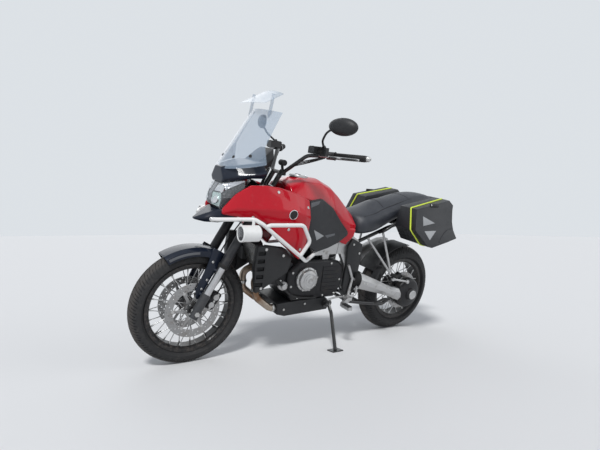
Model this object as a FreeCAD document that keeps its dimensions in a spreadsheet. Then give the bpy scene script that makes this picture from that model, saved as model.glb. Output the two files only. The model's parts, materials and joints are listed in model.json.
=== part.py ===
import FreeCAD, Part
import math
import os
import Sketcher
from FreeCAD import Placement, Rotation, Vector

# Adventure motorcycle, leaning on its side stand.
# Every sub-part is drawn upright, X forward, Y left and Z up, with X measured from a datum
# midway between the axles, and is then leaned over and set down on the ground.
# Lengths are millimetres and angles are degrees.

DIMENSIONS = (
    # alias, value, meaning
    ("lean_angle", 12.5, "lean to the left on the side stand"),
    ("front_axle_x", 797.5, "front axle ahead of the datum"),
    ("rear_axle_x", 797.5, "rear axle behind the datum"),
    ("rake_angle", 28, "steering axis from the vertical"),
    ("trail", 107, "steering axis ahead of the front contact on the ground"),
    ("front_tyre_radius", 329, "front tyre over the tread"),
    ("front_tyre_width", 110, "front tyre across the crown"),
    ("front_tyre_depth", 86, "front tyre from tread to bead seat"),
    ("front_rim_width", 80, "front rim over its flanges"),
    ("rear_tyre_radius", 321, "rear tyre over the tread"),
    ("rear_tyre_width", 150, "rear tyre across the crown"),
    ("rear_tyre_depth", 102, "rear tyre from tread to bead seat"),
    ("rear_rim_width", 118, "rear rim over its flanges"),
    ("tyre_wall", 9, "tyre carcass thickness"),
    ("rim_flange", 13, "rim flange above the bead seat"),
    ("rim_well", 5, "rim metal thickness"),
    ("spoke_radius", 2.6, "spoke wire"),
    ("spoke_groups", 9, "groups of four crossed spokes round a wheel"),
    ("front_hub_radius", 44, "front hub spoke flange"),
    ("front_hub_width", 96, "front hub between spoke flange faces"),
    ("rear_hub_radius", 72, "rear hub spoke flange"),
    ("rear_hub_width", 112, "rear hub between spoke flange faces"),
    ("front_disc_radius", 155, "front brake disc"),
    ("rear_disc_radius", 138, "rear brake disc"),
    ("disc_thickness", 5, "brake disc"),
    ("disc_band", 42, "brake disc track"),
    ("disc_bore", 24, "brake disc centre hole"),
    ("front_disc_face", 61, "front disc inner face from the wheel plane"),
    ("rear_disc_face", 82, "rear disc inner face from the wheel plane"),
    ("disc_clearance", 2.5, "caliper slot beside a disc"),
    ("axle_radius", 12, "front axle"),
    ("running_clearance", 0.3, "round an axle, stem or pivot"),
    ("leg_spacing", 210, "fork legs, centre to centre"),
    ("leg_radius", 27, "fork upper tube"),
    ("stanchion_radius", 21.5, "fork lower tube"),
    ("stem_radius", 15, "steering stem"),
    ("head_radius", 33, "steering head outside"),
    ("head_bottom", 1002, "steering head lower end along the steering axis"),
    ("head_top", 1110, "steering head upper end along the steering axis"),
    ("yoke_gap", 2, "yoke face to steering head"),
    ("lower_yoke_thickness", 38, "lower yoke"),
    ("upper_yoke_thickness", 26, "upper yoke"),
    ("spar_inner", 100, "frame spar inner face from the middle"),
    ("spar_thickness", 30, "frame spar"),
    ("crankcase_half_width", 140, "crankcase side from the middle"),
    ("alternator_radius", 75, "round alternator cover"),
    ("alternator_depth", 48, "round alternator cover"),
    ("tank_half_width", 150, "tank side behind the knee pad"),
    ("panel_thickness", 26, "knee pad"),
    ("bar_tube_radius", 11, "crash bar tube"),
    ("lamp_radius", 43, "fog lamp housing"),
    ("lamp_length", 104, "fog lamp housing"),
    ("handlebar_radius", 11, "handlebar tube"),
    ("grip_radius", 17, "handlebar grip"),
    ("screen_thickness", 4, "windscreen sheet"),
    ("pannier_inner", 176, "pannier inner face from the middle"),
    ("pannier_wall", 4, "pannier shell"),
    ("lid_depth", 62, "pannier lid shell"),
    ("lid_seam", 0.6, "between lid and pannier"),
    ("stand_radius", 11, "side stand leg"),
    ("stand_foot_thickness", 7, "side stand foot plate"),
    ("centre_stand_radius", 12.5, "centre stand tube"),
    ("swingarm_inner", 102, "swingarm inner face from the middle"),
    ("swingarm_outer", 174, "swingarm outer face from the middle"),
    ("drive_radius", 108, "final drive housing"),
    ("drive_recess", 9, "final drive hub seat inboard of the swingarm"),
    ("mudguard_gap", 15, "mudguard above the tyre"),
    ("mudguard_skin", 5, "mudguard skin"),
    ("header_radius", 21, "exhaust header pipe"),
    ("peg_length", 78, "foot peg"),
    ("carrier_bolt_circle", 150, "bolt circle on the rear carrier"),
    ("carrier_bolt_radius", 4.25, "bolt hole in the rear carrier"),
    ("plate_width", 200, "number plate"),
    ("plate_height", 140, "number plate"),
)

doc = FreeCAD.newDocument("adventure_motorcycle")
sheet = doc.addObject("Spreadsheet::Sheet", "Dims")
for row, (alias, value, meaning) in enumerate(DIMENSIONS, start=1):
    sheet.set(f"A{row}", alias)
    sheet.set(f"B{row}", str(value))
    sheet.set(f"C{row}", meaning)
    sheet.setAlias(f"B{row}", alias)
doc.recompute()


class Size:
    """A size: its present value, and the sheet expression that gives it."""

    def __init__(self, value, text):
        self.value = float(value)
        self.text = text

    def joined(self, other, sign, value, swap=False):
        own = other.text if isinstance(other, Size) else f"{other:.6f}"
        first, last = (own, self.text) if swap else (self.text, own)
        return Size(value, f"({first} {sign} {last})")

    def __add__(self, other):
        return self.joined(other, "+", self.value + float(other))

    def __radd__(self, other):
        return self.joined(other, "+", float(other) + self.value, swap=True)

    def __sub__(self, other):
        return self.joined(other, "-", self.value - float(other))

    def __rsub__(self, other):
        return self.joined(other, "-", float(other) - self.value, swap=True)

    def __mul__(self, other):
        return self.joined(other, "*", self.value * float(other))

    def __rmul__(self, other):
        return self.joined(other, "*", float(other) * self.value, swap=True)

    def __truediv__(self, other):
        return self.joined(other, "/", self.value / float(other))

    def __neg__(self):
        return Size(-self.value, f"(-1 * {self.text})")

    def __float__(self):
        return self.value


class Sizes:
    """The sheet's cells by alias."""

    def __getattr__(self, alias):
        return Size(getattr(sheet, alias), f"Dims.{alias}")


D = Sizes()


def vec(x, y, z):
    return Vector(float(x), float(y), float(z))


def bind(item, name, size):
    """Set a property, and bind it to the sheet where the size comes from there."""
    if isinstance(size, Size):
        setattr(item, name, size.value)
        item.setExpression(name, size.text)
    else:
        setattr(item, name, size)


# The upright frame: axles, steering axis and ground
LEAN = math.radians(float(D.lean_angle))
RAKE = math.radians(float(D.rake_angle))
FRONT_X = float(D.front_axle_x)
REAR_X = -float(D.rear_axle_x)


def axle_height(radius, width):
    """Axle height that puts the leaned tyre's crown on the ground."""
    crown = float(width) / 2
    return float(radius) - crown + crown / math.cos(LEAN)


FRONT_Z = axle_height(D.front_tyre_radius, D.front_tyre_width)
REAR_Z = axle_height(D.rear_tyre_radius, D.rear_tyre_width)
STEER_UP = Vector(-math.sin(RAKE), 0, math.cos(RAKE))
STEER_FORWARD = Vector(math.cos(RAKE), 0, math.sin(RAKE))
STEER_FOOT = Vector(FRONT_X + float(D.trail), 0, 0)
FRONT_AXLE = Vector(FRONT_X, 0, FRONT_Z)
FORK_OFFSET = (FRONT_AXLE - STEER_FOOT).dot(STEER_FORWARD)
AXLE_UP = (FRONT_AXLE - STEER_FOOT).dot(STEER_UP)
SIDES = ((1, "left"), (-1, "right"))
PIVOT = Vector(-235, 0, 470)


def steer_point(up, forward=0, side=0):
    """A point given along the steering axis, ahead of it and beside it."""
    return STEER_FOOT + STEER_UP * float(up) + STEER_FORWARD * float(forward) + Vector(0, float(side), 0)


def ground_height(y):
    """Height of the ground in the upright frame, beside the wheels."""
    return float(y) * math.tan(LEAN)


parts = []


def keep(item, label):
    """Name a finished sub-part."""
    item.Label = label
    parts.append(item)
    return item


def feature(label, shape):
    item = doc.addObject("Part::Feature", label)
    item.Shape = shape
    return item


def fuse(name, items):
    item = doc.addObject("Part::MultiFuse", name)
    item.Shapes = items
    doc.recompute()
    return item


def cut(name, base, tool):
    item = doc.addObject("Part::Cut", name)
    item.Base = base
    item.Tool = tool
    doc.recompute()
    return item


def cylinder(name, radius, height, start, direction):
    item = doc.addObject("Part::Cylinder", name)
    bind(item, "Radius", radius)
    bind(item, "Height", height)
    item.Placement = Placement(start, Rotation(Vector(0, 0, 1), direction))
    return item


def block(name, low, high):
    """A box between two corners."""
    item = doc.addObject("Part::Box", name)
    item.Length, item.Width, item.Height = [float(b) - float(a) for a, b in zip(low, high)]
    item.Placement = Placement(vec(*low), Rotation())
    return item


def rod(start, end, radius):
    """A round bar between two points, as a plain shape."""
    return Part.makeCylinder(float(radius), (end - start).Length, start, end - start)


def rounded_route(points, bend):
    """Straight runs joined by tangent arcs of one bend radius, or less where runs are short."""
    edges = []
    start = points[0]
    for before, corner, after in zip(points, points[1:], points[2:]):
        back = (before - corner).normalize()
        ahead = (after - corner).normalize()
        half = back.getAngle(ahead) / 2
        reach = min(bend / math.tan(half), 0.48 * (before - corner).Length, 0.48 * (after - corner).Length)
        radius = reach * math.tan(half)
        first, last = corner + back * reach, corner + ahead * reach
        inward = (back + ahead).normalize()
        middle = corner + inward * (radius / math.sin(half) - radius)
        edges.append(Part.LineSegment(start, first).toShape())
        edges.append(Part.Arc(first, middle, last).toShape())
        start = last
    edges.append(Part.LineSegment(start, points[-1]).toShape())
    return Part.Wire(edges)


def tube(points, radius, bend):
    """A round tube along a bent route."""
    if len(points) == 2:
        return rod(points[0], points[1], radius)
    route = rounded_route(points, bend)
    ring = Part.Wire(Part.Circle(points[0], points[1] - points[0], float(radius)).toShape())
    return route.makePipeShell([ring], True, False, 2)


def closed(points):
    return Part.makePolygon(list(points) + [points[0]])


def prism(outline_xz, low_y, high_y):
    """An outline in the side view, given as (x, z), as thick as from low_y to high_y."""
    face = Part.Face(closed([vec(x, low_y, z) for x, z in outline_xz]))
    return face.extrude(vec(0, float(high_y) - float(low_y), 0))


def loft(sections):
    """A solid through closed sections."""
    return Part.makeLoft(sections, True, True)


def mirror(shape):
    return shape.mirror(Vector(0, 0, 0), Vector(0, 1, 0))


def both(shape):
    return Part.makeCompound([shape, mirror(shape)])


def origin_item(body, role):
    for item in body.Origin.OriginFeatures:
        if item.Role == role:
            return item
    raise ValueError(role)


def sketch_on(body, role, name, offset=0):
    sketch = body.newObject("Sketcher::SketchObject", name)
    sketch.AttachmentSupport = [(origin_item(body, role), "")]
    sketch.MapMode = "FlatFace"
    sketch.AttachmentOffset = Placement(vec(0, 0, offset), Rotation())
    if isinstance(offset, Size):
        sketch.setExpression("AttachmentOffset.Base.z", offset.text)
    return sketch


def outline(sketch, corners, arcs=()):
    """Draw a closed outline, each corner held by its two coordinates.

    arcs holds (edge number, bulge point, height of the arc's centre) for the edges that are
    round, counted from 0."""
    bulges = {edge: bulge for edge, bulge, _ in arcs}
    centres = {edge: centre for edge, _, centre in arcs}
    ends = [vec(x, y, 0) for x, y in corners]
    count = len(ends)
    grips = []
    for index, start in enumerate(ends):
        end = ends[(index + 1) % count]
        if index in bulges:
            bulge = vec(bulges[index][0], bulges[index][1], 0)
            arc = Part.Arc(start, bulge, end)
            sketch.addGeometry(arc, False)
            turns_left = (bulge - start).cross(end - bulge).z > 0
            grips.append((1, 2) if turns_left else (2, 1))
        else:
            sketch.addGeometry(Part.LineSegment(start, end), False)
            grips.append((1, 2))
    for index in range(count):
        follower = (index + 1) % count
        sketch.addConstraint(Sketcher.Constraint("Coincident", index, grips[index][1], follower, grips[follower][0]))
    for index, corner in enumerate(corners):
        for kind, size in zip(("DistanceX", "DistanceY"), corner):
            number = sketch.addConstraint(Sketcher.Constraint(kind, index, grips[index][0], float(size)))
            if isinstance(size, Size):
                sketch.setExpression(f"Constraints[{number}]", size.text)
        if index in centres:
            number = sketch.addConstraint(Sketcher.Constraint("DistanceY", index, 3, float(centres[index])))
            sketch.setExpression(f"Constraints[{number}]", centres[index].text)
    return sketch


def circle(sketch, x, y, radius):
    index = sketch.addGeometry(Part.Circle(vec(x, y, 0), Vector(0, 0, 1), float(radius)), False)
    for kind, size in (("DistanceX", x), ("DistanceY", y)):
        number = sketch.addConstraint(Sketcher.Constraint(kind, index, 3, float(size)))
        if isinstance(size, Size):
            sketch.setExpression(f"Constraints[{number}]", size.text)
    number = sketch.addConstraint(Sketcher.Constraint("Radius", index, float(radius)))
    if isinstance(radius, Size):
        sketch.setExpression(f"Constraints[{number}]", radius.text)


def new_body(label):
    body = doc.addObject("PartDesign::Body", label)
    body.AllowCompound = True
    return keep(body, label)


def pad(body, sketch, length, name, symmetric=False, reverse=False):
    item = body.newObject("PartDesign::Pad", name)
    item.Profile = sketch
    if symmetric:
        item.SideType = "Symmetric"
    item.Reversed = reverse
    bind(item, "Length", length)
    doc.recompute()
    return item


def pocket_all(body, sketch, name):
    """Cut a sketch right through, both ways from its plane."""
    item = body.newObject("PartDesign::Pocket", name)
    item.Profile = sketch
    item.Type = "ThroughAll"
    item.SideType = "Symmetric"
    before = body.Shape.Volume
    doc.recompute()
    if body.Shape.Volume >= before:
        raise ValueError(f"{name} cuts nothing")
    return item


def revolve(body, sketch, axis_role, name):
    item = body.newObject("PartDesign::Revolution", name)
    item.Profile = sketch
    item.ReferenceAxis = (origin_item(body, axis_role), [""])
    item.Angle = 360
    doc.recompute()
    return item


def chamfer(body, edges_of, size, name):
    """Chamfer the tip's edges that edges_of picks."""
    tip = body.Tip
    names = [f"Edge{number}" for number, edge in enumerate(tip.Shape.Edges, start=1) if edges_of(edge)]
    item = body.newObject("PartDesign::Chamfer", name)
    item.Base = (tip, names)
    bind(item, "Size", size)
    doc.recompute()
    return item


def is_arc(edge):
    return isinstance(edge.Curve, Part.Circle)


# Wheels
def tyre(label, centre, radius, width, rim_radius, rim_width):
    """A carcass open to the rim, turned about the axle."""
    body = new_body(label)
    body.Placement.Base = centre
    half, bead = width / 2, rim_width / 2 - D.rim_well - 1
    wall = D.tyre_wall
    shoulder = radius - half
    foot = rim_radius + D.rim_flange + 2
    section = sketch_on(body, "YZ_Plane", f"{label}_section")
    outline(
        section,
        (
            (-half, shoulder), (half, shoulder), (bead, foot), (bead, rim_radius), (bead - wall, rim_radius),
            (bead - wall, foot), (half - wall, shoulder), (wall - half, shoulder), (wall - bead, foot),
            (wall - bead, rim_radius), (-bead, rim_radius), (-bead, foot),
        ),
        ((0, (0, radius), shoulder), (6, (0, radius - wall), shoulder)),
    )
    revolve(body, section, "Y_Axis", f"{label}_turned")
    return body


def hub_profile(radius, width, end, tube_radius, bore):
    """Half section of a hub with a flange at each end of a slimmer barrel, as (y, r)."""
    half = width / 2
    return (
        (-end, bore), (end, bore), (end, radius - 12), (half, radius), (half - 9, radius), (half - 14, tube_radius),
        (14 - half, tube_radius), (9 - half, radius), (-half, radius), (-end, radius - 12),
    )


def wheel(label, centre, rim_radius, rim_width, hub_radius, hub_width, hub_end, bore):
    """Rim, hub and crossed wire spokes in one."""
    body = new_body(label)
    body.Placement.Base = centre
    half, well = rim_width / 2, D.rim_well
    rim = sketch_on(body, "YZ_Plane", f"{label}_rim_section")
    top = rim_radius + D.rim_flange
    outline(
        rim,
        (
            (-half, top), (well - half, top), (well - half, rim_radius), (half - well, rim_radius), (half - well, top),
            (half, top), (half, rim_radius - well), (half - 14, rim_radius - 16), (14 - half, rim_radius - 16),
            (-half, rim_radius - well),
        ),
    )
    revolve(body, rim, "Y_Axis", f"{label}_rim")
    hub = sketch_on(body, "YZ_Plane", f"{label}_hub_section")
    outline(hub, hub_profile(hub_radius, hub_width, hub_end, hub_radius * 0.68, bore))
    revolve(body, hub, "Y_Axis", f"{label}_hub")
    inner, outer = float(hub_radius) - 5, float(rim_radius) - 12
    flange, seat = float(hub_width) / 2 - 4.5, float(rim_width) / 2 - 18
    groups = int(float(D.spoke_groups))
    originals = []
    for side, side_name in SIDES:
        for lean, lean_name in ((1, "leading"), (-1, "trailing")):
            turn = 90 / groups * side
            at_rim = math.radians(turn + lean * 70 / groups)
            at_hub = math.radians(turn + lean * 50)
            start = Vector(inner * math.cos(at_hub), side * flange, inner * math.sin(at_hub))
            end = Vector(outer * math.cos(at_rim), side * seat, outer * math.sin(at_rim))
            spoke = body.newObject("Sketcher::SketchObject", f"{label}_{side_name}_{lean_name}_spoke_end")
            spoke.Placement = Placement(start, Rotation(Vector(0, 0, 1), end - start))
            circle(spoke, 0, 0, D.spoke_radius)
            originals.append(pad(body, spoke, (end - start).Length, f"{label}_{side_name}_{lean_name}_spoke"))
    pattern = body.newObject("PartDesign::PolarPattern", f"{label}_spokes")
    pattern.Originals = originals
    pattern.Axis = (origin_item(body, "Y_Axis"), [""])
    pattern.Angle = 360
    pattern.Occurrences = groups
    pattern.setExpression("Occurrences", "Dims.spoke_groups")
    body.Tip = pattern
    doc.recompute()
    return body


def front_discs():
    body = new_body("front_discs")
    body.Placement.Base = FRONT_AXLE
    for side, name in SIDES:
        plate = sketch_on(body, "XZ_Plane", f"front_disc_{name}_outline", -D.front_disc_face * side)
        circle(plate, 0, 0, D.front_disc_radius)
        circle(plate, 0, 0, D.front_disc_radius - D.disc_band)
        pad(body, plate, D.disc_thickness, f"front_disc_{name}_track", reverse=side > 0)
        carrier(body, f"front_disc_{name}", D.front_disc_face, D.front_disc_radius - D.disc_band, D.disc_bore, side)


def carrier(body, name, face, outer, bore, side):
    """The spider between a disc's track and the hub."""
    arms = 6
    ring = sketch_on(body, "XZ_Plane", f"{name}_boss_outline", -face * side)
    circle(ring, 0, 0, 46)
    circle(ring, 0, 0, bore)
    pad(body, ring, D.disc_thickness, f"{name}_boss", reverse=side > 0)
    arm = sketch_on(body, "XZ_Plane", f"{name}_arm_outline", -face * side)
    outline(arm, ((42, -9), (outer + 3, -7), (outer + 3, 7), (42, 9)))
    arm_pad = pad(body, arm, D.disc_thickness, f"{name}_arm", reverse=side > 0)
    pattern = body.newObject("PartDesign::PolarPattern", f"{name}_arms")
    pattern.Originals = [arm_pad]
    pattern.Axis = (origin_item(body, "Y_Axis"), [""])
    pattern.Angle = 360
    pattern.Occurrences = arms
    body.Tip = pattern
    doc.recompute()


def rear_disc():
    body = new_body("rear_disc")
    body.Placement.Base = Vector(REAR_X, 0, REAR_Z)
    plate = sketch_on(body, "XZ_Plane", "rear_disc_outline", -D.rear_disc_face)
    circle(plate, 0, 0, D.rear_disc_radius)
    circle(plate, 0, 0, D.rear_disc_radius - D.disc_band)
    pad(body, plate, D.disc_thickness, "rear_disc_track", reverse=True)
    carrier(body, "rear_disc", D.rear_disc_face, D.rear_disc_radius - D.disc_band, D.disc_bore, 1)


def wheels():
    front_rim = D.front_tyre_radius - D.front_tyre_depth
    tyre("front_tyre", FRONT_AXLE, D.front_tyre_radius, D.front_tyre_width, front_rim, D.front_rim_width)
    wheel("front_wheel", FRONT_AXLE, front_rim, D.front_rim_width, D.front_hub_radius, D.front_hub_width,
          D.front_disc_face, D.axle_radius + D.running_clearance)
    front_discs()
    rear_axle = Vector(REAR_X, 0, REAR_Z)
    rear_rim = D.rear_tyre_radius - D.rear_tyre_depth
    tyre("rear_tyre", rear_axle, D.rear_tyre_radius, D.rear_tyre_width, rear_rim, D.rear_rim_width)
    hub = wheel("rear_wheel", rear_axle, rear_rim, D.rear_rim_width, D.rear_hub_radius, D.rear_hub_width,
                D.rear_hub_width / 2 + 10, D.axle_radius)
    spindle = sketch_on(hub, "YZ_Plane", "rear_spindle_section")
    inboard = D.rear_hub_width / 2 + 6
    end = D.swingarm_inner - D.drive_recess - D.running_clearance
    outline(spindle, ((inboard, D.axle_radius), (end, D.axle_radius), (end, D.disc_bore), (D.rear_disc_face, D.disc_bore),
                      (D.rear_disc_face, 44), (inboard, 44)))
    revolve(hub, spindle, "Y_Axis", "rear_spindle")
    rear_disc()


# Steering
def yoke(up, thickness, rear):
    """A clamp plate across both legs, square to the steering axis."""
    half = float(D.leg_spacing) / 2
    arm = float(D.leg_radius) + 9
    outer = half + arm
    front = FORK_OFFSET + arm
    shape = (
        (-rear, -26), (-rear, 26), (22, half - 34), (FORK_OFFSET - arm, outer - 12), (FORK_OFFSET, outer),
        (front - 10, outer - 10), (front - 4, half - 24), (FORK_OFFSET - 8, 34), (FORK_OFFSET - 8, -34),
        (front - 4, 24 - half), (front - 10, 10 - outer), (FORK_OFFSET, -outer), (FORK_OFFSET - arm, 12 - outer),
        (22, 34 - half),
    )
    face = Part.Face(closed([steer_point(up, forward, side) for forward, side in shape]))
    return face.extrude(STEER_UP * float(thickness))


def fork():
    """Legs, yokes, stem and front axle."""
    low_yoke = D.head_bottom - D.yoke_gap - D.lower_yoke_thickness
    top_yoke = D.head_top + D.yoke_gap
    leg_top = top_yoke + D.upper_yoke_thickness + 6
    pieces = []
    for side, name in SIDES:
        across = side * float(D.leg_spacing) / 2
        sleeve_low = 640
        pieces.append(cylinder(f"fork_upper_tube_{name}", D.leg_radius, leg_top - sleeve_low,
                               steer_point(sleeve_low, FORK_OFFSET, across), STEER_UP))
        clamp_top = AXLE_UP + 116
        pieces.append(cylinder(f"fork_lower_tube_{name}", D.stanchion_radius, sleeve_low - clamp_top + 20,
                               steer_point(clamp_top - 10, FORK_OFFSET, across), STEER_UP))
        pieces.append(cylinder(f"fork_axle_clamp_{name}", D.leg_radius - 1, 146,
                               steer_point(AXLE_UP - 30, FORK_OFFSET, across), STEER_UP))
    half = D.leg_spacing / 2 + 24
    pieces.append(cylinder("front_axle", D.axle_radius, half * 2, FRONT_AXLE - vec(0, half, 0), Vector(0, 1, 0)))
    stem_top = top_yoke + D.upper_yoke_thickness + 8
    pieces.append(cylinder("steering_stem", D.stem_radius, stem_top - low_yoke, steer_point(low_yoke), STEER_UP))
    pieces.append(feature("lower_yoke", yoke(low_yoke, D.lower_yoke_thickness, 34)))
    pieces.append(feature("upper_yoke", yoke(top_yoke, D.upper_yoke_thickness, 30)))
    keep(fuse("fork", pieces), "fork")


GRIP_INNER = Vector(150, 296, 1247)
GRIP_OUTER = Vector(46, 432, 1254)


def handlebar():
    """Tapered bar on risers, with its grips."""
    clamp = steer_point(float(D.head_top + D.yoke_gap + D.upper_yoke_thickness) + 118, 14)
    pieces = []
    route = [clamp, clamp + Vector(0, 62, 0), Vector(246, 170, 1232), GRIP_INNER, GRIP_OUTER]
    half = tube(route, D.handlebar_radius, 70)
    pieces.append(feature("bar_left", half))
    pieces.append(feature("bar_right", mirror(half)))
    direction = (GRIP_OUTER - GRIP_INNER).normalize()
    for side, name in SIDES:
        flip = Vector(1, side, 1)
        start = Vector(GRIP_INNER.x, GRIP_INNER.y * flip.y, GRIP_INNER.z)
        along = Vector(direction.x, direction.y * flip.y, direction.z)
        pieces.append(cylinder(f"grip_{name}", D.grip_radius, (GRIP_OUTER - GRIP_INNER).Length + 6, start, along))
        riser_foot = steer_point(D.head_top + D.yoke_gap + D.upper_yoke_thickness, 14, side * 42)
        pieces.append(cylinder(f"riser_{name}", 15, 122, riser_foot, STEER_UP))
    return pieces


def controls():
    """Reservoirs, switch housings and levers beside the grips."""
    shapes = []
    inner = GRIP_INNER
    along = (GRIP_OUTER - GRIP_INNER).normalize()
    switch = rod(inner - along * 44, inner - along * 2, 22)
    reservoir_base = inner - along * 78 + Vector(26, 0, 4)
    reservoir = Part.makeBox(78, 54, 36, reservoir_base - Vector(30, 27, 0))
    bracket = Part.makeBox(34, 30, 20, inner - along * 70 + Vector(-8, -15, -10))
    lever = tube([inner - along * 60 + Vector(34, 0, -4), inner + along * 20 + Vector(66, 20, -8),
                  GRIP_OUTER - along * 10 + Vector(58, 26, -10)], 6, 40)
    guard = Part.makeBox(20, 92, 46, inner + Vector(62, -70, -6))
    shapes.extend([switch, reservoir, bracket, lever, guard])
    return shapes


def handlebar_assembly():
    pieces = handlebar()
    for number, shape in enumerate(controls(), start=1):
        pieces.append(feature(f"control_left_{number}", shape))
        pieces.append(feature(f"control_right_{number}", mirror(shape)))
    keep(fuse("handlebar", pieces), "handlebar")


def mirrors():
    """A stem and an oval head each side, as pairs on the controls."""
    base = Vector(206, 262, 1284)
    centre = Vector(232, 430, 1402)
    stem = tube([base, base + Vector(40, 30, 36), centre + Vector(22, -60, -24), centre + Vector(6, -4, 0)], 6, 30)
    head = Part.makeSphere(1).transformGeometry(FreeCAD.Matrix(24, 0, 0, 0, 0, 92, 0, 0, 0, 0, 52, 0, 0, 0, 0, 1))
    head.Placement = Placement(centre, Rotation(Vector(0, 0, 1), -12))
    pair = stem.fuse(head)
    bar = doc.getObject("handlebar").Shape
    keep(feature("mirrors", both(pair).cut(bar)), "mirrors")


def front_mudguard():
    """A channel over the tyre, with covers ahead of the fork legs."""
    inner = float(D.front_tyre_radius + D.mudguard_gap)
    skin = float(D.mudguard_skin)
    half = float(D.front_tyre_width) / 2 + 12
    section = closed([
        Vector(0, -half - skin, inner - 38), Vector(0, -half - skin, inner - 8), Vector(0, -half + 20, inner + skin + 1),
        Vector(0, half - 20, inner + skin + 1), Vector(0, half + skin, inner - 8), Vector(0, half + skin, inner - 38),
        Vector(0, half, inner - 38), Vector(0, half, inner - 10), Vector(0, half - 22, inner),
        Vector(0, 22 - half, inner), Vector(0, -half, inner - 10), Vector(0, -half, inner - 38),
    ])
    face = Part.Face(section)
    front_angle, rear_angle = 60, 126
    face.rotate(Vector(0, 0, 0), Vector(0, 1, 0), 90 - front_angle)
    channel = face.revolve(Vector(0, 0, 0), Vector(0, 1, 0), -(rear_angle - front_angle))
    channel.translate(FRONT_AXLE)
    pieces = [channel]
    foot = half + skin - 0.5
    leg = doc.getObject("fork").Shape
    cover = ((66, 30, 16), (110, 56, 14), (250, 70, 14), (inner - 14, 88, 20), (inner + 8, 86, 40))
    front_edge = [steer_point(AXLE_UP + up, FORK_OFFSET + front, foot) for up, front, _ in cover]
    rear_edge = [steer_point(AXLE_UP + up, FORK_OFFSET + back, foot) for up, _, back in reversed(cover)]
    plate = Part.Face(closed(front_edge + rear_edge)).extrude(Vector(0, 8, 0))
    bosses = [rod(steer_point(AXLE_UP + up, FORK_OFFSET + 22, foot + 4),
                  steer_point(AXLE_UP + up, FORK_OFFSET + 10, float(D.leg_spacing) / 2 - 4), 9) for up in (100, 250)]
    cover_solid = plate.fuse(bosses).cut(leg)
    pieces.extend([cover_solid, mirror(cover_solid)])
    body = pieces[0].fuse(pieces[1:])
    keep(feature("front_mudguard", body), "front_mudguard")


def front_calipers():
    """A caliper behind each leg, slotted over its disc."""
    face, thick, gap = float(D.front_disc_face), float(D.disc_thickness), float(D.disc_clearance)
    reach = float(D.front_disc_radius)
    centre = FRONT_AXLE + STEER_UP * 96 - STEER_FORWARD * 66
    body = Part.makeBox(56, 50, 104, Vector(-28, 0, -52))
    body = body.makeChamfer(9, body.Edges)
    slot = Part.makeCylinder(reach + gap, thick + 2 * gap, vec(0, face - gap, 0), Vector(0, 1, 0))
    slot.translate(FRONT_AXLE)
    body.Placement = Placement(centre + vec(0, face - gap - 12, 0), Rotation(Vector(0, 1, 0), -32))
    arm = float(D.leg_spacing) / 2 - float(D.leg_radius)
    bridge = rod(FRONT_AXLE + STEER_UP * 96 - STEER_FORWARD * 60 + vec(0, arm + 4, 0),
                 FRONT_AXLE + STEER_UP * 96 - STEER_FORWARD * 24 + vec(0, arm + 12, 0), 9)
    clamp = rod(steer_point(AXLE_UP - 31, FORK_OFFSET, float(D.leg_spacing) / 2),
                steer_point(AXLE_UP + 117, FORK_OFFSET, float(D.leg_spacing) / 2), float(D.leg_radius) - 1)
    shape = body.cut(slot).fuse(bridge).cut(clamp)
    keep(feature("front_calipers", both(shape)), "front_calipers")


# Frame
SPAR_OUTLINE = (
    # x, z down the left spar's outline
    (330, 925), (250, 884), (100, 812), (-60, 752), (-215, 750), (-268, 722), (-290, 600), (-285, 470), (-250, 392),
    (-190, 392), (-176, 560), (-130, 636), (-42, 634), (-38, 604), (6, 604),
    (12, 632), (72, 630), (112, 700), (250, 782), (330, 830),
)


def frame():
    for side, name in SIDES:
        body = new_body(f"frame_spar_{name}")
        plate = sketch_on(body, "XZ_Plane", f"spar_{name}_outline", -D.spar_inner * side)
        outline(plate, SPAR_OUTLINE)
        pad(body, plate, D.spar_thickness, f"spar_{name}_plate", reverse=side > 0)
        bore = sketch_on(body, "XZ_Plane", f"spar_{name}_pivot", -D.spar_inner * side)
        circle(bore, PIVOT.x, PIVOT.z, 19)
        pocket_all(body, bore, f"spar_{name}_pivot_bore")
    outer = D.spar_inner + D.spar_thickness
    front = closed([vec(330, -outer, 830), vec(330, outer, 830), vec(330, outer, 925), vec(330, -outer, 925)])
    low, high = steer_point(D.head_bottom + 6, -16), steer_point(D.head_top - 6, -16)
    neck = closed([low + Vector(0, -24, 0), low + Vector(0, 24, 0), high + Vector(0, 24, 0), high + Vector(0, -24, 0)])
    length = D.head_top - D.head_bottom
    casting = feature("head_casting", loft([front, neck]))
    head = cylinder("head_tube", D.head_radius, length, steer_point(D.head_bottom), STEER_UP)
    stay_foot = steer_point((float(D.head_bottom) + float(D.head_top)) / 2, 22)
    stay = feature("stay_blade", fairing_stay(stay_foot))
    bore = cylinder("stem_bore", D.stem_radius + D.running_clearance, length + 20,
                    steer_point(D.head_bottom - 10), STEER_UP)
    keep(cut("steering_head", fuse("head_blank", [casting, head, stay]), bore), "steering_head")


def fairing_stay(foot):
    """A blade between the fork legs and a cross plate ahead of their sweep."""
    blade = Part.makeBox(FRONT_X - 204 - foot.x, 7, 34, foot + Vector(0, -3.5, -10))
    plate = Part.makeBox(8, 190, 56, Vector(FRONT_X - 208, -95, foot.z - 20))
    return blade.fuse(plate)


def subframe():
    rails = []
    for side in (1, -1):
        y = side * 86
        rails.append(tube([Vector(-232, y, 676), Vector(-560, y, 800), Vector(-910, y, 882)], 12, 200))
    for x, z in ((-256, 685), (-905, 881)):
        rails.append(rod(Vector(x, -99, z), Vector(x, 99, z), 11))
    keep(feature("subframe", rails[0].fuse(rails[1:])), "subframe")


# Engine
CRANKCASE_OUTLINE = (
    (252, 430), (248, 540), (176, 604), (-30, 604), (-128, 588), (-166, 548), (-172, 430), (-120, 352), (205, 350),
)


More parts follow.
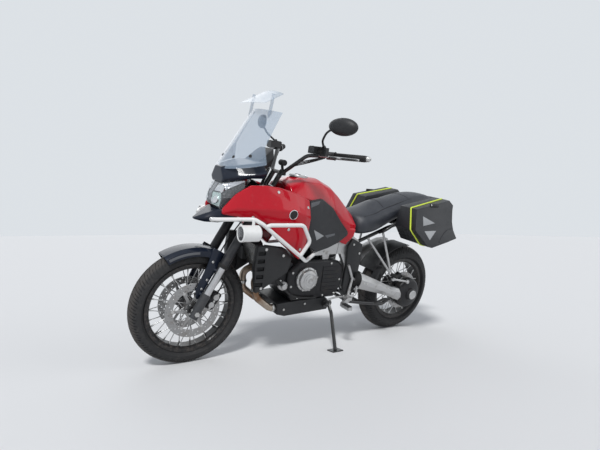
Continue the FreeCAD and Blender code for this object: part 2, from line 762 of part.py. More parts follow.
def engine():
    body = new_body("crankcase")
    case = sketch_on(body, "XZ_Plane", "crankcase_outline")
    outline(case, CRANKCASE_OUTLINE)
    pad(body, case, D.crankcase_half_width * 2, "crankcase_block", symmetric=True)
    side_y = float(D.crankcase_half_width)
    chamfer(body, lambda edge: abs(abs(edge.CenterOfMass.y) - side_y) < 0.01, 14, "crankcase_chamfer")
    for name, side, x, z, radius, depth in (
        ("alternator_cover", 1, 122, 490, D.alternator_radius, D.alternator_depth),
        ("clutch_cover", -1, 20, 470, D.alternator_radius + 20, D.alternator_depth - 10),
    ):
        cover = new_body(name)
        cover.Placement = Placement(vec(x, 0, z), Rotation())
        face = D.crankcase_half_width
        section = sketch_on(cover, "YZ_Plane", f"{name}_section")
        rim = radius - 14
        outline(section, [(size * side, height) for size, height in (
            (face, 0), (face, radius), (face + 16, radius), (face + 18, rim + 4), (face + depth - 12, rim),
            (face + depth - 3, rim - 12), (face + depth, rim - 26), (face + depth, 0))])
        revolve(cover, section, "Y_Axis", f"{name}_turned")
    for name, low, high, half in (
        ("front_cylinders", ((252, 440), (248, 540), (206, 578)), ((330, 648), (398, 566), (372, 470)), 118),
        ("rear_cylinders", ((70, 604), (-120, 604)), ((-150, 700), (-92, 742), (86, 742)), 92),
    ):
        shape = prism(list(low) + list(high), -half, half)
        shape = shape.makeChamfer(10, [edge for edge in shape.Edges if abs(edge.tangentAt(edge.FirstParameter).y) > 0.9])
        case_shape = body.Shape
        keep(feature(name, shape.cut(case_shape)), name)


def radiators():
    """The core and, each side of it, a slatted shroud."""
    core = prism([(412, 548), (470, 700), (430, 712), (404, 660), (402, 590), (404, 552)], -96, 96)
    lug = Part.makeBox(46, 50, 34, Vector(362, -25, 556))
    core = core.fuse(lug).cut(doc.getObject("front_cylinders").Shape)
    shrouds = []
    outline_xz = ((512, 722), (522, 600), (500, 452), (452, 470), (440, 600), (448, 716))
    for side, name in SIDES:
        shape = prism(outline_xz, 172, 206)
        back = prism([(448, 716), (440, 600), (452, 470), (300, 560), (282, 640), (330, 700)], 150, 196)
        arm = prism([(448, 640), (448, 560), (400, 560), (400, 640)], 96, 172)
        shape = shape.fuse(back).fuse(arm)
        for z in (500, 545, 590, 635, 680):
            shape = shape.cut(Part.makeBox(46, 60, 22, Vector(462, 188, z - 11)))
        shrouds.append(shape if side > 0 else mirror(shape))
    keep(feature("radiators", core.fuse(shrouds)), "radiators")


def exhaust():
    radius = float(D.header_radius)
    pipes = []
    for side in (1, -1):
        y = 72 * side
        head = Vector(384, y, 520)
        pipes.append(tube([head, Vector(446, y, 490), Vector(428, y * 1.25, 380), Vector(330, y * 1.25, 306),
                           Vector(296, y * 1.25, 303)], radius, 60))
    pan = prism([(296, 272), (296, 338), (150, 349), (-60, 349), (-96, 320), (-80, 268), (240, 256)], -130, 130)
    heads = doc.getObject("front_cylinders").Shape
    keep(feature("exhaust_headers", Part.makeCompound(pipes).cut(heads).cut(pan)), "exhaust_headers")
    keep(feature("belly_pan", pan), "belly_pan")
    link = tube([Vector(-86, -50, 312), Vector(-180, -50, 332), Vector(-304, -40, 394), Vector(-352, -112, 408),
                 Vector(-404, -202, 432)], 24, 70).cut(pan)
    sections = []
    for x, z, y, high, wide in ((-400, 436, 206, 66, 56), (-520, 486, 218, 130, 96), (-800, 560, 236, 150, 112),
                                (-880, 576, 240, 132, 100)):
        low, top = z - high / 2, z + high / 2
        sections.append(closed([Vector(x, -y + wide / 2, low + 18), Vector(x, -y + wide / 2, top - 24),
                                Vector(x, -y + wide / 2 - 24, top), Vector(x, -y - wide / 2 + 30, top),
                                Vector(x, -y - wide / 2, top - 34), Vector(x, -y - wide / 2, low + 20),
                                Vector(x, -y - wide / 2 + 22, low), Vector(x, -y + wide / 2 - 18, low)]))
    keep(feature("silencer", loft(sections).fuse(link)), "silencer")


# Bodywork across the middle: rows of a table are sections square to X
def cross_section(x, low, high, low_half, mid_half, mid, top_half, crown):
    """A closed section, symmetric about the middle, its top an arc that rises by crown."""
    left = [vec(x, low_half, low), vec(x, mid_half, mid), vec(x, top_half, high)]
    right = [Vector(point.x, -point.y, point.z) for point in reversed(left)]
    top = Part.Arc(left[-1], vec(x, 0, high + crown), right[0]).toShape()
    return Part.Wire([Part.makePolygon(left), top, Part.makePolygon(right + [left[0]])])


TANK_SECTIONS = (
    # x, low, high at the edge, low half, mid half, mid height, top half, crown
    (300, 930, 1046, 120, 163, 990, 112, 16),
    (200, 900, 1078, 140, 163, 985, 112, 22),
    (60, 830, 1066, 150, 150, 960, 100, 28),
    (-30, 790, 1030, 150, 150, 920, 92, 28),
    (-100, 766, 980, 150, 150, 860, 84, 28),
    (-160, 756, 930, 146, 146, 830, 78, 24),
    (-225, 760, 878, 128, 134, 820, 74, 14),
)
SEAT_SECTIONS = (
    (-225, 760, 880, 128, 134, 820, 74, 12),
    (-290, 752, 886, 140, 164, 846, 128, 18),
    (-380, 764, 900, 148, 170, 868, 128, 36),
    (-450, 794, 930, 146, 164, 886, 112, 52),
    (-560, 850, 962, 138, 154, 922, 104, 30),
    (-640, 872, 990, 134, 148, 948, 104, 24),
    (-740, 894, 1022, 130, 142, 972, 100, 14),
    (-880, 922, 1040, 118, 132, 990, 96, 10),
    (-978, 958, 1022, 96, 104, 996, 80, 4),
)


def bodywork_middle():
    tank = loft([cross_section(*row) for row in TANK_SECTIONS])
    lobe = prism([(-66, 800), (-60, 730), (-146, 700), (-205, 752), (-216, 800)], 131, 149)
    tank = tank.fuse([lobe, mirror(lobe)])
    keep(feature("fuel_tank", tank), "fuel_tank")
    keep(feature("seat", loft([cross_section(*row) for row in SEAT_SECTIONS])), "seat")


SIDE_FAIRING_SECTIONS = (
    # x ahead of the front axle, low, high, inner, low half, mid half, mid height, top half
    (-92, 878, 906, 104, 124, 132, 892, 122),
    (-157, 872, 992, 122, 150, 166, 920, 140),
    (-217, 868, 1046, 163, 186, 200, 920, 172),
)
REAR_FAIRING_SECTIONS = (
    # x from the datum, then as above
    (480, 852, 1050, 163, 214, 226, 930, 184),
    (400, 762, 1042, 163, 222, 240, 930, 186),
    (300, 684, 1018, 163, 222, 240, 920, 184),
    (240, 636, 998, 163, 214, 230, 900, 182),
    (192, 716, 976, 163, 196, 212, 880, 178),
)


def side_section(x, low, high, inner, low_half, mid_half, mid, top_half):
    return closed([vec(x, inner, low), vec(x, low_half, low), vec(x, mid_half, mid), vec(x, top_half, high),
                   vec(x, inner, high)])


def side_fairings():
    rows = [(FRONT_X + row[0],) + row[1:] for row in SIDE_FAIRING_SECTIONS] + list(REAR_FAIRING_SECTIONS)
    shape = loft([side_section(*row) for row in rows])
    for side, name in SIDES:
        keep(feature(f"side_fairing_{name}", shape if side > 0 else mirror(shape)), f"side_fairing_{name}")


def knee_pads():
    rows = ((190, 722, 976, 190), (100, 668, 988, 184), (10, 690, 936, 178), (-70, 722, 850, 174), (-138, 762, 792, 164))
    inner = float(D.tank_half_width) + 0.2
    sections = []
    for x, low, high, outer in rows:
        middle = (low + high) / 2
        sections.append(side_section(x, low, high, inner, outer - 6, outer, middle, outer - 8))
    pad_shape = loft(sections)
    pad_shape = pad_shape.cut(doc.getObject("fuel_tank").Shape)
    keep(feature("knee_pads", both(pad_shape)), "knee_pads")


def front_section(offset, low, high, low_half, mid_half, mid, top_half):
    """A section of the nose, square to X and symmetric, placed from the front axle."""
    x = FRONT_X + offset
    left = [vec(x, low_half, low), vec(x, mid_half, mid), vec(x, top_half, high)]
    right = [Vector(point.x, -point.y, point.z) for point in reversed(left)]
    return closed(left + right)


def nose():
    beak_rows = ((20, 828, 838, 10, 16, 834, 12), (-30, 820, 866, 40, 62, 846, 40), (-97, 822, 900, 70, 98, 860, 84),
                 (-157, 834, 900, 82, 112, 868, 102), (-176, 838, 900, 84, 114, 868, 104))
    keep(feature("beak", loft([front_section(*row) for row in beak_rows])), "beak")
    lamp_rows = ((-62, 918, 978, 30, 44, 948, 30), (-97, 900, 1036, 74, 100, 960, 66), (-157, 900, 1056, 96, 118, 970, 112),
                 (-200, 912, 1066, 100, 142, 980, 140))
    lamp = loft([front_section(*row) for row in lamp_rows])
    keep(feature("headlamp", lamp), "headlamp")
    cowl_rows = ((-97, 1036, 1122, 62, 84, 1060, 40), (-157, 1056, 1136, 108, 138, 1080, 96),
                 (-237, 1078, 1156, 150, 186, 1100, 132), (-297, 1082, 1170, 160, 198, 1116, 140))
    keep(feature("front_cowl", loft([front_section(*row) for row in cowl_rows])), "front_cowl")
    dash_rows = ((-297, 1092, 1168, 90, 104, 1120, 90), (-360, 1140, 1226, 84, 100, 1180, 84),
                 (-384, 1150, 1246, 74, 92, 1196, 76))
    keep(feature("dashboard", loft([front_section(*row) for row in dash_rows])), "dashboard")


def crescent(edge, middle):
    """A thin curved section through an edge point, its mirror and the middle point."""
    other = Vector(edge.x, -edge.y, edge.z)
    outer = Part.Arc(edge, middle, other)
    centre = outer.toShape().Curve.Center
    thick = float(D.screen_thickness)

    def inward(point):
        return point + (centre - point).normalize() * thick

    inner = Part.Arc(inward(other), inward(middle), inward(edge))
    return Part.Wire([outer.toShape(), Part.LineSegment(other, inward(other)).toShape(), inner.toShape(),
                      Part.LineSegment(inward(edge), edge).toShape()])


SCREEN_SECTIONS = (
    # edge x from the front axle, edge half width, edge height, middle x from the front axle, middle height
    (-284, 200, 1160, -100, 1112),
    (-274, 178, 1250, -164, 1220),
    (-318, 172, 1345, -230, 1332),
    (-366, 160, 1440, -296, 1450),
)


def screen():
    sections = []
    for edge_x, edge_y, edge_z, middle_x, middle_z in SCREEN_SECTIONS:
        sections.append(crescent(vec(FRONT_X + edge_x, edge_y, edge_z), vec(FRONT_X + middle_x, 0, middle_z)))
    cowl = doc.getObject("front_cowl").Shape
    glass = max(loft(sections).cut(cowl).Solids, key=lambda solid: solid.Volume)
    keep(feature("windscreen", glass), "windscreen")
    base = vec(FRONT_X - 258, 150, 1476), vec(FRONT_X - 250, 0, 1478)
    top = vec(FRONT_X - 372, 138, 1540), vec(FRONT_X - 362, 0, 1557)
    spoiler = loft([crescent(*base), crescent(*top)])
    clamps = []
    for side in (1, -1):
        y = side * 112
        clamp = rod(vec(FRONT_X - 312, y, 1404), vec(FRONT_X - 328, y, 1532), 9).cut(glass)
        clamps.append(max(clamp.Solids, key=lambda solid: solid.Volume))
    keep(feature("screen_spoiler", spoiler.fuse(clamps)), "screen_spoiler")


# Tail
CARRIER_CENTRE_X = -1050
CARRIER_LOW = 985
CARRIER_TOP = 1009


def tail():
    rows = ((-560, 826, 850, 112, 118, 838, 112), (-640, 850, 872, 112, 120, 861, 112), (-740, 876, 894, 110, 118, 885, 110),
            (-880, 908, 922, 104, 112, 915, 104), (-978, 916, 958, 92, 100, 937, 92),
            (-1004, 919, CARRIER_LOW - 0.3, 86, 96, 944, 88), (-1060, 926, CARRIER_LOW - 0.3, 70, 84, 950, 78))
    sections = []
    for x, low, high, low_half, mid_half, mid, top_half in rows:
        left = [vec(x, low_half, low), vec(x, mid_half, mid), vec(x, top_half, high)]
        right = [Vector(point.x, -point.y, point.z) for point in reversed(left)]
        sections.append(closed(left + right))
    keep(feature("tail_unit", loft(sections)), "tail_unit")
    plate = Part.Face(closed([vec(-982, 108, 0), vec(-1110, 108, 0), vec(-1131, 84, 0), vec(-1131, -84, 0),
                              vec(-1110, -108, 0), vec(-982, -108, 0)]))
    plate.translate(Vector(0, 0, CARRIER_LOW))
    rack = plate.extrude(Vector(0, 0, CARRIER_TOP - CARRIER_LOW))
    for x in (-1016, -1050, -1084):
        rack = rack.cut(Part.makeBox(16, 76, 40, Vector(x - 8, -38, 980)))
    for quarter in range(4):
        turn = math.radians(45 + 90 * quarter)
        reach = float(D.carrier_bolt_circle) / 2
        centre = Vector(CARRIER_CENTRE_X + reach * math.cos(turn), reach * math.sin(turn), 0)
        rack = rack.cut(Part.makeCylinder(float(D.carrier_bolt_radius), 1100, centre, Vector(0, 0, 1)))
    keep(feature("rear_carrier", rack), "rear_carrier")
    keep(feature("tail_lamp", prism([(-1060.2, 934), (-1086, 940), (-1094, 962), (-1084, 980), (-1060.2, 980)], -56, 56)),
         "tail_lamp")
    tongue = prism([(-900, 906), (-960, 914), (-1006, 860), (-1030, 690), (-1020, 688), (-986, 850), (-930, 890)], -36, 36)
    keep(feature("plate_holder", tongue), "plate_holder")
    body = new_body("number_plate")
    height = D.plate_height
    body.Placement = Placement(vec(-1030, 0, 690), Rotation(Vector(0, 1, 0), -8))
    face = sketch_on(body, "YZ_Plane", "number_plate_outline")
    outline(face, ((-D.plate_width / 2, 0), (D.plate_width / 2, 0), (D.plate_width / 2, height), (-D.plate_width / 2, height)))
    pad(body, face, 3, "number_plate_sheet", reverse=True)


# Rear running gear
def swingarm():
    inner, outer = float(D.swingarm_inner), float(D.swingarm_outer)
    drive_front = REAR_X + float(D.drive_radius) - 14
    rows = (
        # x, low, high
        (-304, 396, 506), (-350, 384, 488), (-480, 350, 438), (-600, 316, 388), (drive_front, REAR_Z - 48, REAR_Z + 42),
    )
    sections = []
    for x, low, high in rows:
        mid = (low + high) / 2
        sections.append(closed([vec(x, inner, low + 10), vec(x, inner + 16, low), vec(x, outer - 22, low),
                                vec(x, outer, mid - 14), vec(x, outer, mid + 14), vec(x, outer - 22, high),
                                vec(x, inner + 16, high), vec(x, inner, high - 10)]))
    arm = loft(sections)
    pivot = rod(Vector(PIVOT.x, -130, PIVOT.z), Vector(PIVOT.x, 130, PIVOT.z), 18)
    cross = prism([(-240, 446), (-240, 494), (-300, 500), (-330, 476), (-330, 446), (-300, 436)], -70, 98)
    root = prism([(-304, 440), (-304, 498), (-344, 486), (-344, 432)], 92, inner + 6)
    barrel = rod(Vector(PIVOT.x, -98, PIVOT.z), Vector(PIVOT.x, 98, PIVOT.z), 30)
    keep(feature("swingarm", arm.fuse([pivot, cross, root, barrel])), "swingarm")
    body = new_body("final_drive")
    body.Placement.Base = Vector(REAR_X, 0, REAR_Z)
    radius, face = D.drive_radius, D.swingarm_inner
    section = sketch_on(body, "YZ_Plane", "final_drive_section")
    outline(section, (
        (face - D.drive_recess, 0), (face - D.drive_recess, 34), (face - 2, 60), (face - 2, radius - 20), (face + 6, radius), (face + 46, radius),
        (face + 62, radius - 14), (face + 70, radius - 44), (face + 72, 46), (face + 88, 44), (face + 96, 34),
        (face + 98, 0)))
    revolve(body, section, "Y_Axis", "final_drive_housing")
    arm_item = doc.getObject("swingarm")
    arm_item.Shape = arm_item.Shape.cut(body.Shape)


def hugger():
    inner = float(D.rear_tyre_radius + D.mudguard_gap)
    half = float(D.rear_tyre_width) / 2 + 6
    face = Part.Face(closed([vec(inner, -half, 0), vec(inner, half, 0), vec(inner + 5, half, 0), vec(inner + 5, -half, 0)]))
    start, end = 28, 92
    face.rotate(Vector(0, 0, 0), Vector(0, 1, 0), -start)
    shape = face.revolve(Vector(0, 0, 0), Vector(0, 1, 0), -(end - start))
    shape.translate(vec(REAR_X, 0, REAR_Z))
    reach = [(REAR_X + (inner + 2) * math.cos(math.radians(turn)), REAR_Z + (inner + 2) * math.sin(math.radians(turn)))
             for turn in (38, 31)]
    bracket = prism([(-470, 428), (-500, 424)] + reach, float(D.swingarm_inner) - 26, float(D.swingarm_inner) + 20)
    arm = doc.getObject("swingarm").Shape
    keep(feature("rear_hugger", shape.fuse(bracket).cut(arm)), "rear_hugger")


def rear_caliper():
    face, thick, gap = float(D.rear_disc_face), float(D.disc_thickness), float(D.disc_clearance)
    body = Part.makeBox(90, 44, 50, Vector(-45, 0, -25))
    body = body.makeChamfer(8, body.Edges)
    turn = 52
    centre = Vector(REAR_X, 0, REAR_Z) + Rotation(Vector(0, 1, 0), -turn).multVec(Vector(126, 0, 0))
    body.Placement = Placement(centre + vec(0, face - gap - 12, 0), Rotation(Vector(0, 1, 0), 90 - turn))
    slot = Part.makeCylinder(float(D.rear_disc_radius) + gap, thick + 2 * gap, vec(REAR_X, face - gap, REAR_Z), Vector(0, 1, 0))
    drive = next(item for item in parts if item.Label == "final_drive").Shape
    keep(feature("rear_caliper", body.cut(slot).cut(drive)), "rear_caliper")


def peg_hangers():
    """Cover plate, cast loop and foot peg each side."""
    outer = float(D.spar_inner + D.spar_thickness)
    cover = prism([(-172, 690), (-205, 738), (-288, 700), (-292, 600), (-284, 520), (-300, 440), (-250, 352), (-196, 352),
                   (-172, 420), (-178, 560)], outer + 0.2, outer + 20)
    keep(feature("pivot_covers", both(cover)), "pivot_covers")
    plane = outer + 20.4
    loop = tube([Vector(-186, plane + 9, 566), Vector(-236, plane + 9, 470), Vector(-214, plane + 9, 352),
                 Vector(-286, plane + 9, 352), Vector(-276, plane + 9, 452), Vector(-236, plane + 9, 476)], 9, 26)
    hanger = Part.makeBox(34, 58, 22, Vector(-214, plane, 341))
    drop = prism([(-216, 363), (-180, 363), (-134, 332), (-134, 308), (-166, 304)], plane + 44, plane + 60)
    peg = Part.makeBox(32, float(D.peg_length) - 8, 20, Vector(-166, plane + 58, 306))
    shape = loop.fuse([hanger, drop, peg])
    keep(feature("foot_pegs", both(shape)), "foot_pegs")


# Guards and lamps
BAR_ROUTE = (
    # left crash bar from the nose to the frame
    (752, 92, 846), (738, 128, 852), (585, 262, 882), (540, 280, 858), (470, 280, 808), (270, 252, 674), (204, 226, 630),
    (120, 176, 650), (66, 131, 652),
)
LOOP_ROUTE = ((520, 281, 846), (500, 284, 856), (290, 286, 857), (226, 276, 760), (262, 250, 672))


def crash_bars():
    radius = D.bar_tube_radius
    main = tube([vec(*point) for point in BAR_ROUTE], radius, 40)
    upper = tube([vec(*point) for point in LOOP_ROUTE], radius, 40)
    nose_item = doc.getObject("beak").Shape
    spar = next(item for item in parts if item.Label == "frame_spar_left").Shape
    shape = main.fuse(upper).cut(nose_item).cut(spar)
    for side, name in SIDES:
        keep(feature(f"crash_bar_{name}", shape if side > 0 else mirror(shape)), f"crash_bar_{name}")
    lamp = rod(vec(560, 280, 812), vec(560 + float(D.lamp_length), 280, 812), D.lamp_radius)
    lamp = lamp.makeChamfer(8, lamp.Edges[:1] + lamp.Edges[2:3])
    post = rod(vec(590, 266, 846), vec(590, 262, 880), 8)
    keep(feature("fog_lamps", both(lamp.fuse(post).cut(shape))), "fog_lamps")


# Panniers
PANNIER_SIDE = (
    # x, z round the pannier seen from its side
    (-550, 970), (-525, 837), (-600, 745), (-640, 737), (-905, 790), (-892, 892), (-910, 1004), (-868, 1036),
)
PANNIER_END = (
    # y, z round the pannier seen from its end, outer side
    (300, 1045), (322, 970), (362, 842), (408, 770), (420, 737),
)
SEAM_TOP, SEAM_BOTTOM = (246, 1045), (356, 737)


def pannier_solid(inset, inner):
    """The pannier's outer form, drawn in by a wall thickness all round."""
    side = Part.Face(closed([vec(x, 0, z) for x, z in PANNIER_SIDE]))
    if inset:
        side = Part.Face(side.OuterWire.makeOffset2D(-inset, 2, False, False, False))
    side = side.extrude(Vector(0, 500, 0))
    corners = [(inner, 1100)] + [(y - inset, z) for y, z in PANNIER_END] + [(PANNIER_END[-1][0] - inset, 650), (inner, 650)]
    corners[1] = (PANNIER_END[0][0] - inset, 1100)
    end = Part.Face(closed([vec(-1000, y, z) for y, z in corners])).extrude(Vector(600, 0, 0))
    return side.common(end)


def seam_solid(shift):
    """All that lies outboard of the seam plane moved outwards by shift."""
    direction = Vector(0, SEAM_BOTTOM[1] - SEAM_TOP[1], -(SEAM_BOTTOM[0] - SEAM_TOP[0])).normalize()
    normal = direction if direction.y > 0 else direction * -1
    top = Vector(-1000, SEAM_TOP[0], SEAM_TOP[1]) + normal * shift
    bottom = Vector(-1000, SEAM_BOTTOM[0], SEAM_BOTTOM[1]) + normal * shift
    along = (top - bottom).normalize()
    face = Part.Face(closed([top + along * 300, bottom - along * 300, bottom - along * 300 + normal * 600,
                             top + along * 300 + normal * 600]))
    return face.extrude(Vector(600, 0, 0))


def panniers():
    wall = float(D.pannier_wall)
    outer = pannier_solid(0, float(D.pannier_inner))
    inner = pannier_solid(wall, float(D.pannier_inner) + wall)
    shell = outer.cut(inner)
    body = shell.cut(seam_solid(0))
    lid = shell.common(seam_solid(float(D.lid_seam)))
    for side, name in SIDES:
        keep(feature(f"pannier_{name}", body if side > 0 else mirror(body)), f"pannier_{name}")
        keep(feature(f"pannier_lid_{name}", lid if side > 0 else mirror(lid)), f"pannier_lid_{name}")
    racks = []
    for points in (((-470, 98, 766), (-470, 150, 790), (-560, 163, 850), (-880, 163, 930), (-900, 120, 900), (-900, 98, 880)),):
        racks.append(tube([vec(*point) for point in points], 10, 40))
    pads = [Part.makeBox(40, float(D.pannier_inner) - 160.2, 34, Vector(x, 160, z)) for x, z in ((-640, 856), (-860, 908))]
    rack = racks[0].fuse(pads)
    tail_shape = doc.getObject("tail_unit").Shape
    seat_shape = doc.getObject("seat").Shape
    rail_shape = doc.getObject("subframe").Shape
    rack = rack.cut(tail_shape).cut(seat_shape).cut(rail_shape)
    keep(feature("pannier_racks", both(rack)), "pannier_racks")


# Stands
STAND_PIVOT = Vector(-58, 160, 326)
STAND_FOOT = vec(-46, 312, ground_height(312))
STAND_STOWED = Vector(-0.99, 0.05, -0.09)
STAND_AXIS = (STAND_FOOT - STAND_PIVOT).cross(STAND_STOWED).normalize()
CENTRE_STAND_PIVOT = Vector(-262, 0, 300)
CENTRE_STAND_HINGE = 12


def stands():
    foot = STAND_FOOT
    knee = Vector(-69, 195, 268)
    up = Vector(0, -math.sin(LEAN), math.cos(LEAN))
    leg = tube([STAND_PIVOT, knee, foot + up * 6], D.stand_radius, 60)
    pad_face = Part.makeBox(78, 62, float(D.stand_foot_thickness), Vector(-39, -31, 0))
    pad_face.Placement = Placement(foot, Rotation(Vector(1, 0, 0), math.degrees(LEAN)))
    boss = rod(STAND_PIVOT - STAND_AXIS * 12, STAND_PIVOT + STAND_AXIS * 14, 20)
    below = Part.makeBox(400, 400, 200, Vector(-200, -200, -200))
    below.Placement = Placement(foot, Rotation(Vector(1, 0, 0), math.degrees(LEAN)))
    keep(feature("side_stand", leg.fuse([pad_face, boss]).cut(below)), "side_stand")
    lug = rod(STAND_PIVOT - STAND_AXIS * 60, STAND_PIVOT - STAND_AXIS * 12.3, 22)
    pan = doc.getObject("belly_pan").Shape
    case = doc.getObject("crankcase").Shape
    inner = float(D.spar_inner)
    ear = prism([(-190, 436), (-258, 436), (-286, 312), (-278, 280), (-248, 278), (-190, 392)], inner - 14, inner)
    bore = rod(CENTRE_STAND_PIVOT - Vector(0, 150, 0), CENTRE_STAND_PIVOT + Vector(0, 150, 0),
               CENTRE_STAND_HINGE + float(D.running_clearance))
    ears = both(ear).cut(bore)
    keep(feature("stand_brackets", Part.makeCompound([lug.cut(pan).cut(case)] + ears.Solids)), "stand_brackets")
    pivot = CENTRE_STAND_PIVOT
    reach = 306
    legs = []
    for side in (1, -1):
        legs.append(tube([pivot + Vector(6, side * 118, 0), pivot + Vector(-120, side * 119, -22),
                          pivot + Vector(-reach, side * 132, -46), pivot + Vector(-reach - 50, side * 132, -20)],
                         D.centre_stand_radius, 60))
    cross = rod(pivot + Vector(-110, -118, -20), pivot + Vector(-110, 118, -20), D.centre_stand_radius)
    hinge = rod(pivot + Vector(0, -120, 0), pivot + Vector(0, 120, 0), CENTRE_STAND_HINGE)
    tang = tube([pivot + Vector(-230, 128, -38), pivot + Vector(-280, 176, 10), pivot + Vector(-300, 214, 20)], 8, 30)
    keep(feature("centre_stand", legs[0].fuse([legs[1], cross, hinge, tang])), "centre_stand")


def build():
    wheels()
    fork()
    handlebar_assembly()
    mirrors()
    front_mudguard()
    front_calipers()
    frame()
    subframe()
    engine()
    radiators()
    exhaust()
    bodywork_middle()
    side_fairings()
    knee_pads()
    nose()
    screen()
    tail()
    swingarm()
    hugger()
    rear_caliper()
    peg_hangers()
    crash_bars()
    panniers()
    stands()


def settle():
    """Lean every sub-part over and set the origin under the middle of the whole."""
    lean = Placement(Vector(0, 0, 0), Rotation(Vector(1, 0, 0), -math.degrees(LEAN)))
    upright = {item.Name: item.Placement.copy() for item in parts}
    for item in parts:
        item.Placement = lean.multiply(upright[item.Name])
    doc.recompute()
    box = FreeCAD.BoundBox()
    for item in parts:
        box.add(item.Shape.optimalBoundingBox(False, False))
    shift = Placement(Vector(-box.Center.x, -box.Center.y, -box.ZMin), Rotation())
    for item in parts:
        item.Placement = shift.multiply(lean).multiply(upright[item.Name])
    doc.recompute()
    return shift.multiply(lean)


def check():
    for item in doc.Objects:
        if "Invalid" in item.State or "Error" in item.State:
            raise ValueError(f"{item.Name} is {item.State}")
    for item in parts:
        if item.Shape.isNull() or not item.Shape.isValid():
            raise ValueError(f"{item.Label} has a bad shape")


def write():
    os.makedirs("parts", exist_ok=True)
    for item in parts:
        item.Shape.exportStep(os.path.join("parts", item.Label + ".step"))


if __name__ == "__main__":
    build()
    doc.recompute()
    world = settle()
    check()
    write()
    print("shift", world.Base, "parts", len(parts))
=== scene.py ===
"""Adventure motorcycle: tyres, seat, trim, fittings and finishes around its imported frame."""

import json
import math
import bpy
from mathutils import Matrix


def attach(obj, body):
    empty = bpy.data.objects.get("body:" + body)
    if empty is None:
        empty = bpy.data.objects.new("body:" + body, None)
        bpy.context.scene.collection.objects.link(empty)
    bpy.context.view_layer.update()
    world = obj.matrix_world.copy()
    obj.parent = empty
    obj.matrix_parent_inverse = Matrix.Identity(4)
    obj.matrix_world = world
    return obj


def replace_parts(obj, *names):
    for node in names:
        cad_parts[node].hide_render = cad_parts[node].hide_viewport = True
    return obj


bl_info = {
    "name": "Adventure motorcycle",
    "version": (1, 0, 0),
    "blender": (4, 5, 0),
    "location": "View3D > Sidebar > Motorcycle",
    "description": "Dresses a motorcycle's frame with tyres, seat, trim, fittings and finishes",
    "category": "Object",
}

import bpy
from mathutils import Matrix, Vector
from mathutils.bvhtree import BVHTree

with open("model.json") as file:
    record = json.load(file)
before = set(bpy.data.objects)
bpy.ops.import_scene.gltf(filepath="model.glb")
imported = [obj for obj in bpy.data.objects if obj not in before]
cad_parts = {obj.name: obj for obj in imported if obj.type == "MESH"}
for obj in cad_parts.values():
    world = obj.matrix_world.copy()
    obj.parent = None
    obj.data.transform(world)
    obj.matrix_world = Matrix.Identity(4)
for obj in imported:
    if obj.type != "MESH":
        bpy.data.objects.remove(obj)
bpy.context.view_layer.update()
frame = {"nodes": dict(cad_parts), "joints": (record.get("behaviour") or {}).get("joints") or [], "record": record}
NODES = frame["nodes"]
JOINTS = {joint["name"]: joint for joint in frame["joints"]}

# Upright frame: X forward from midway between the axles, Y left, Z up, in metres
LEAN = math.radians(12.5)
RAKE = math.radians(28)
FRONT_AXLE = Vector((0.7975, 0, 0.3303))
REAR_AXLE = Vector((-0.7975, 0, 0.3228))
STEER_FOOT = Vector((0.9045, 0, 0))
STEER_UP = Vector((-math.sin(RAKE), 0, math.cos(RAKE)))
STEER_FORWARD = Vector((math.cos(RAKE), 0, math.sin(RAKE)))
LEG_FORWARD = 60.6
LEG_ACROSS = 105
ALONG_X, ALONG_Y, ALONG_Z = Vector((1, 0, 0)), Vector((0, 1, 0)), Vector((0, 0, 1))
SIDES = ((1, "left"), (-1, "right"))
TURN = Matrix.Rotation(-LEAN, 4, "X")


def mm(*numbers):
    """A vector given in millimetres."""
    return Vector(numbers) / 1000


def steer(up, forward=0, side=0):
    """A point in millimetres along the steering axis, ahead of it and to its left."""
    return STEER_FOOT + (STEER_UP * up + STEER_FORWARD * forward) / 1000 + mm(0, side, 0)


# The centre stand's pivot in the upright frame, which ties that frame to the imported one
STAND_PIVOT = mm(-262, 0, 300)
SHIFT = Vector(JOINTS["centre_stand_swing"]["pos_m"]) - TURN @ STAND_PIVOT
PLACE = Matrix.Translation(SHIFT) @ TURN
UPRIGHT = PLACE.inverted()


# Shader maths
class Channel:
    """A shader socket on which Python's operators add Math nodes."""

    def __init__(self, finish, socket):
        self.finish = finish
        self.socket = socket

    def maths(self, operation, *others):
        return self.finish.maths(operation, self, *others)

    def __add__(self, other):
        return self.maths("ADD", other)

    def __sub__(self, other):
        return self.maths("SUBTRACT", other)

    def __rsub__(self, other):
        return self.finish.maths("SUBTRACT", other, self)

    def __mul__(self, other):
        return self.maths("MULTIPLY", other)

    def __pow__(self, other):
        return self.maths("POWER", other)

    __radd__ = __add__
    __rmul__ = __mul__


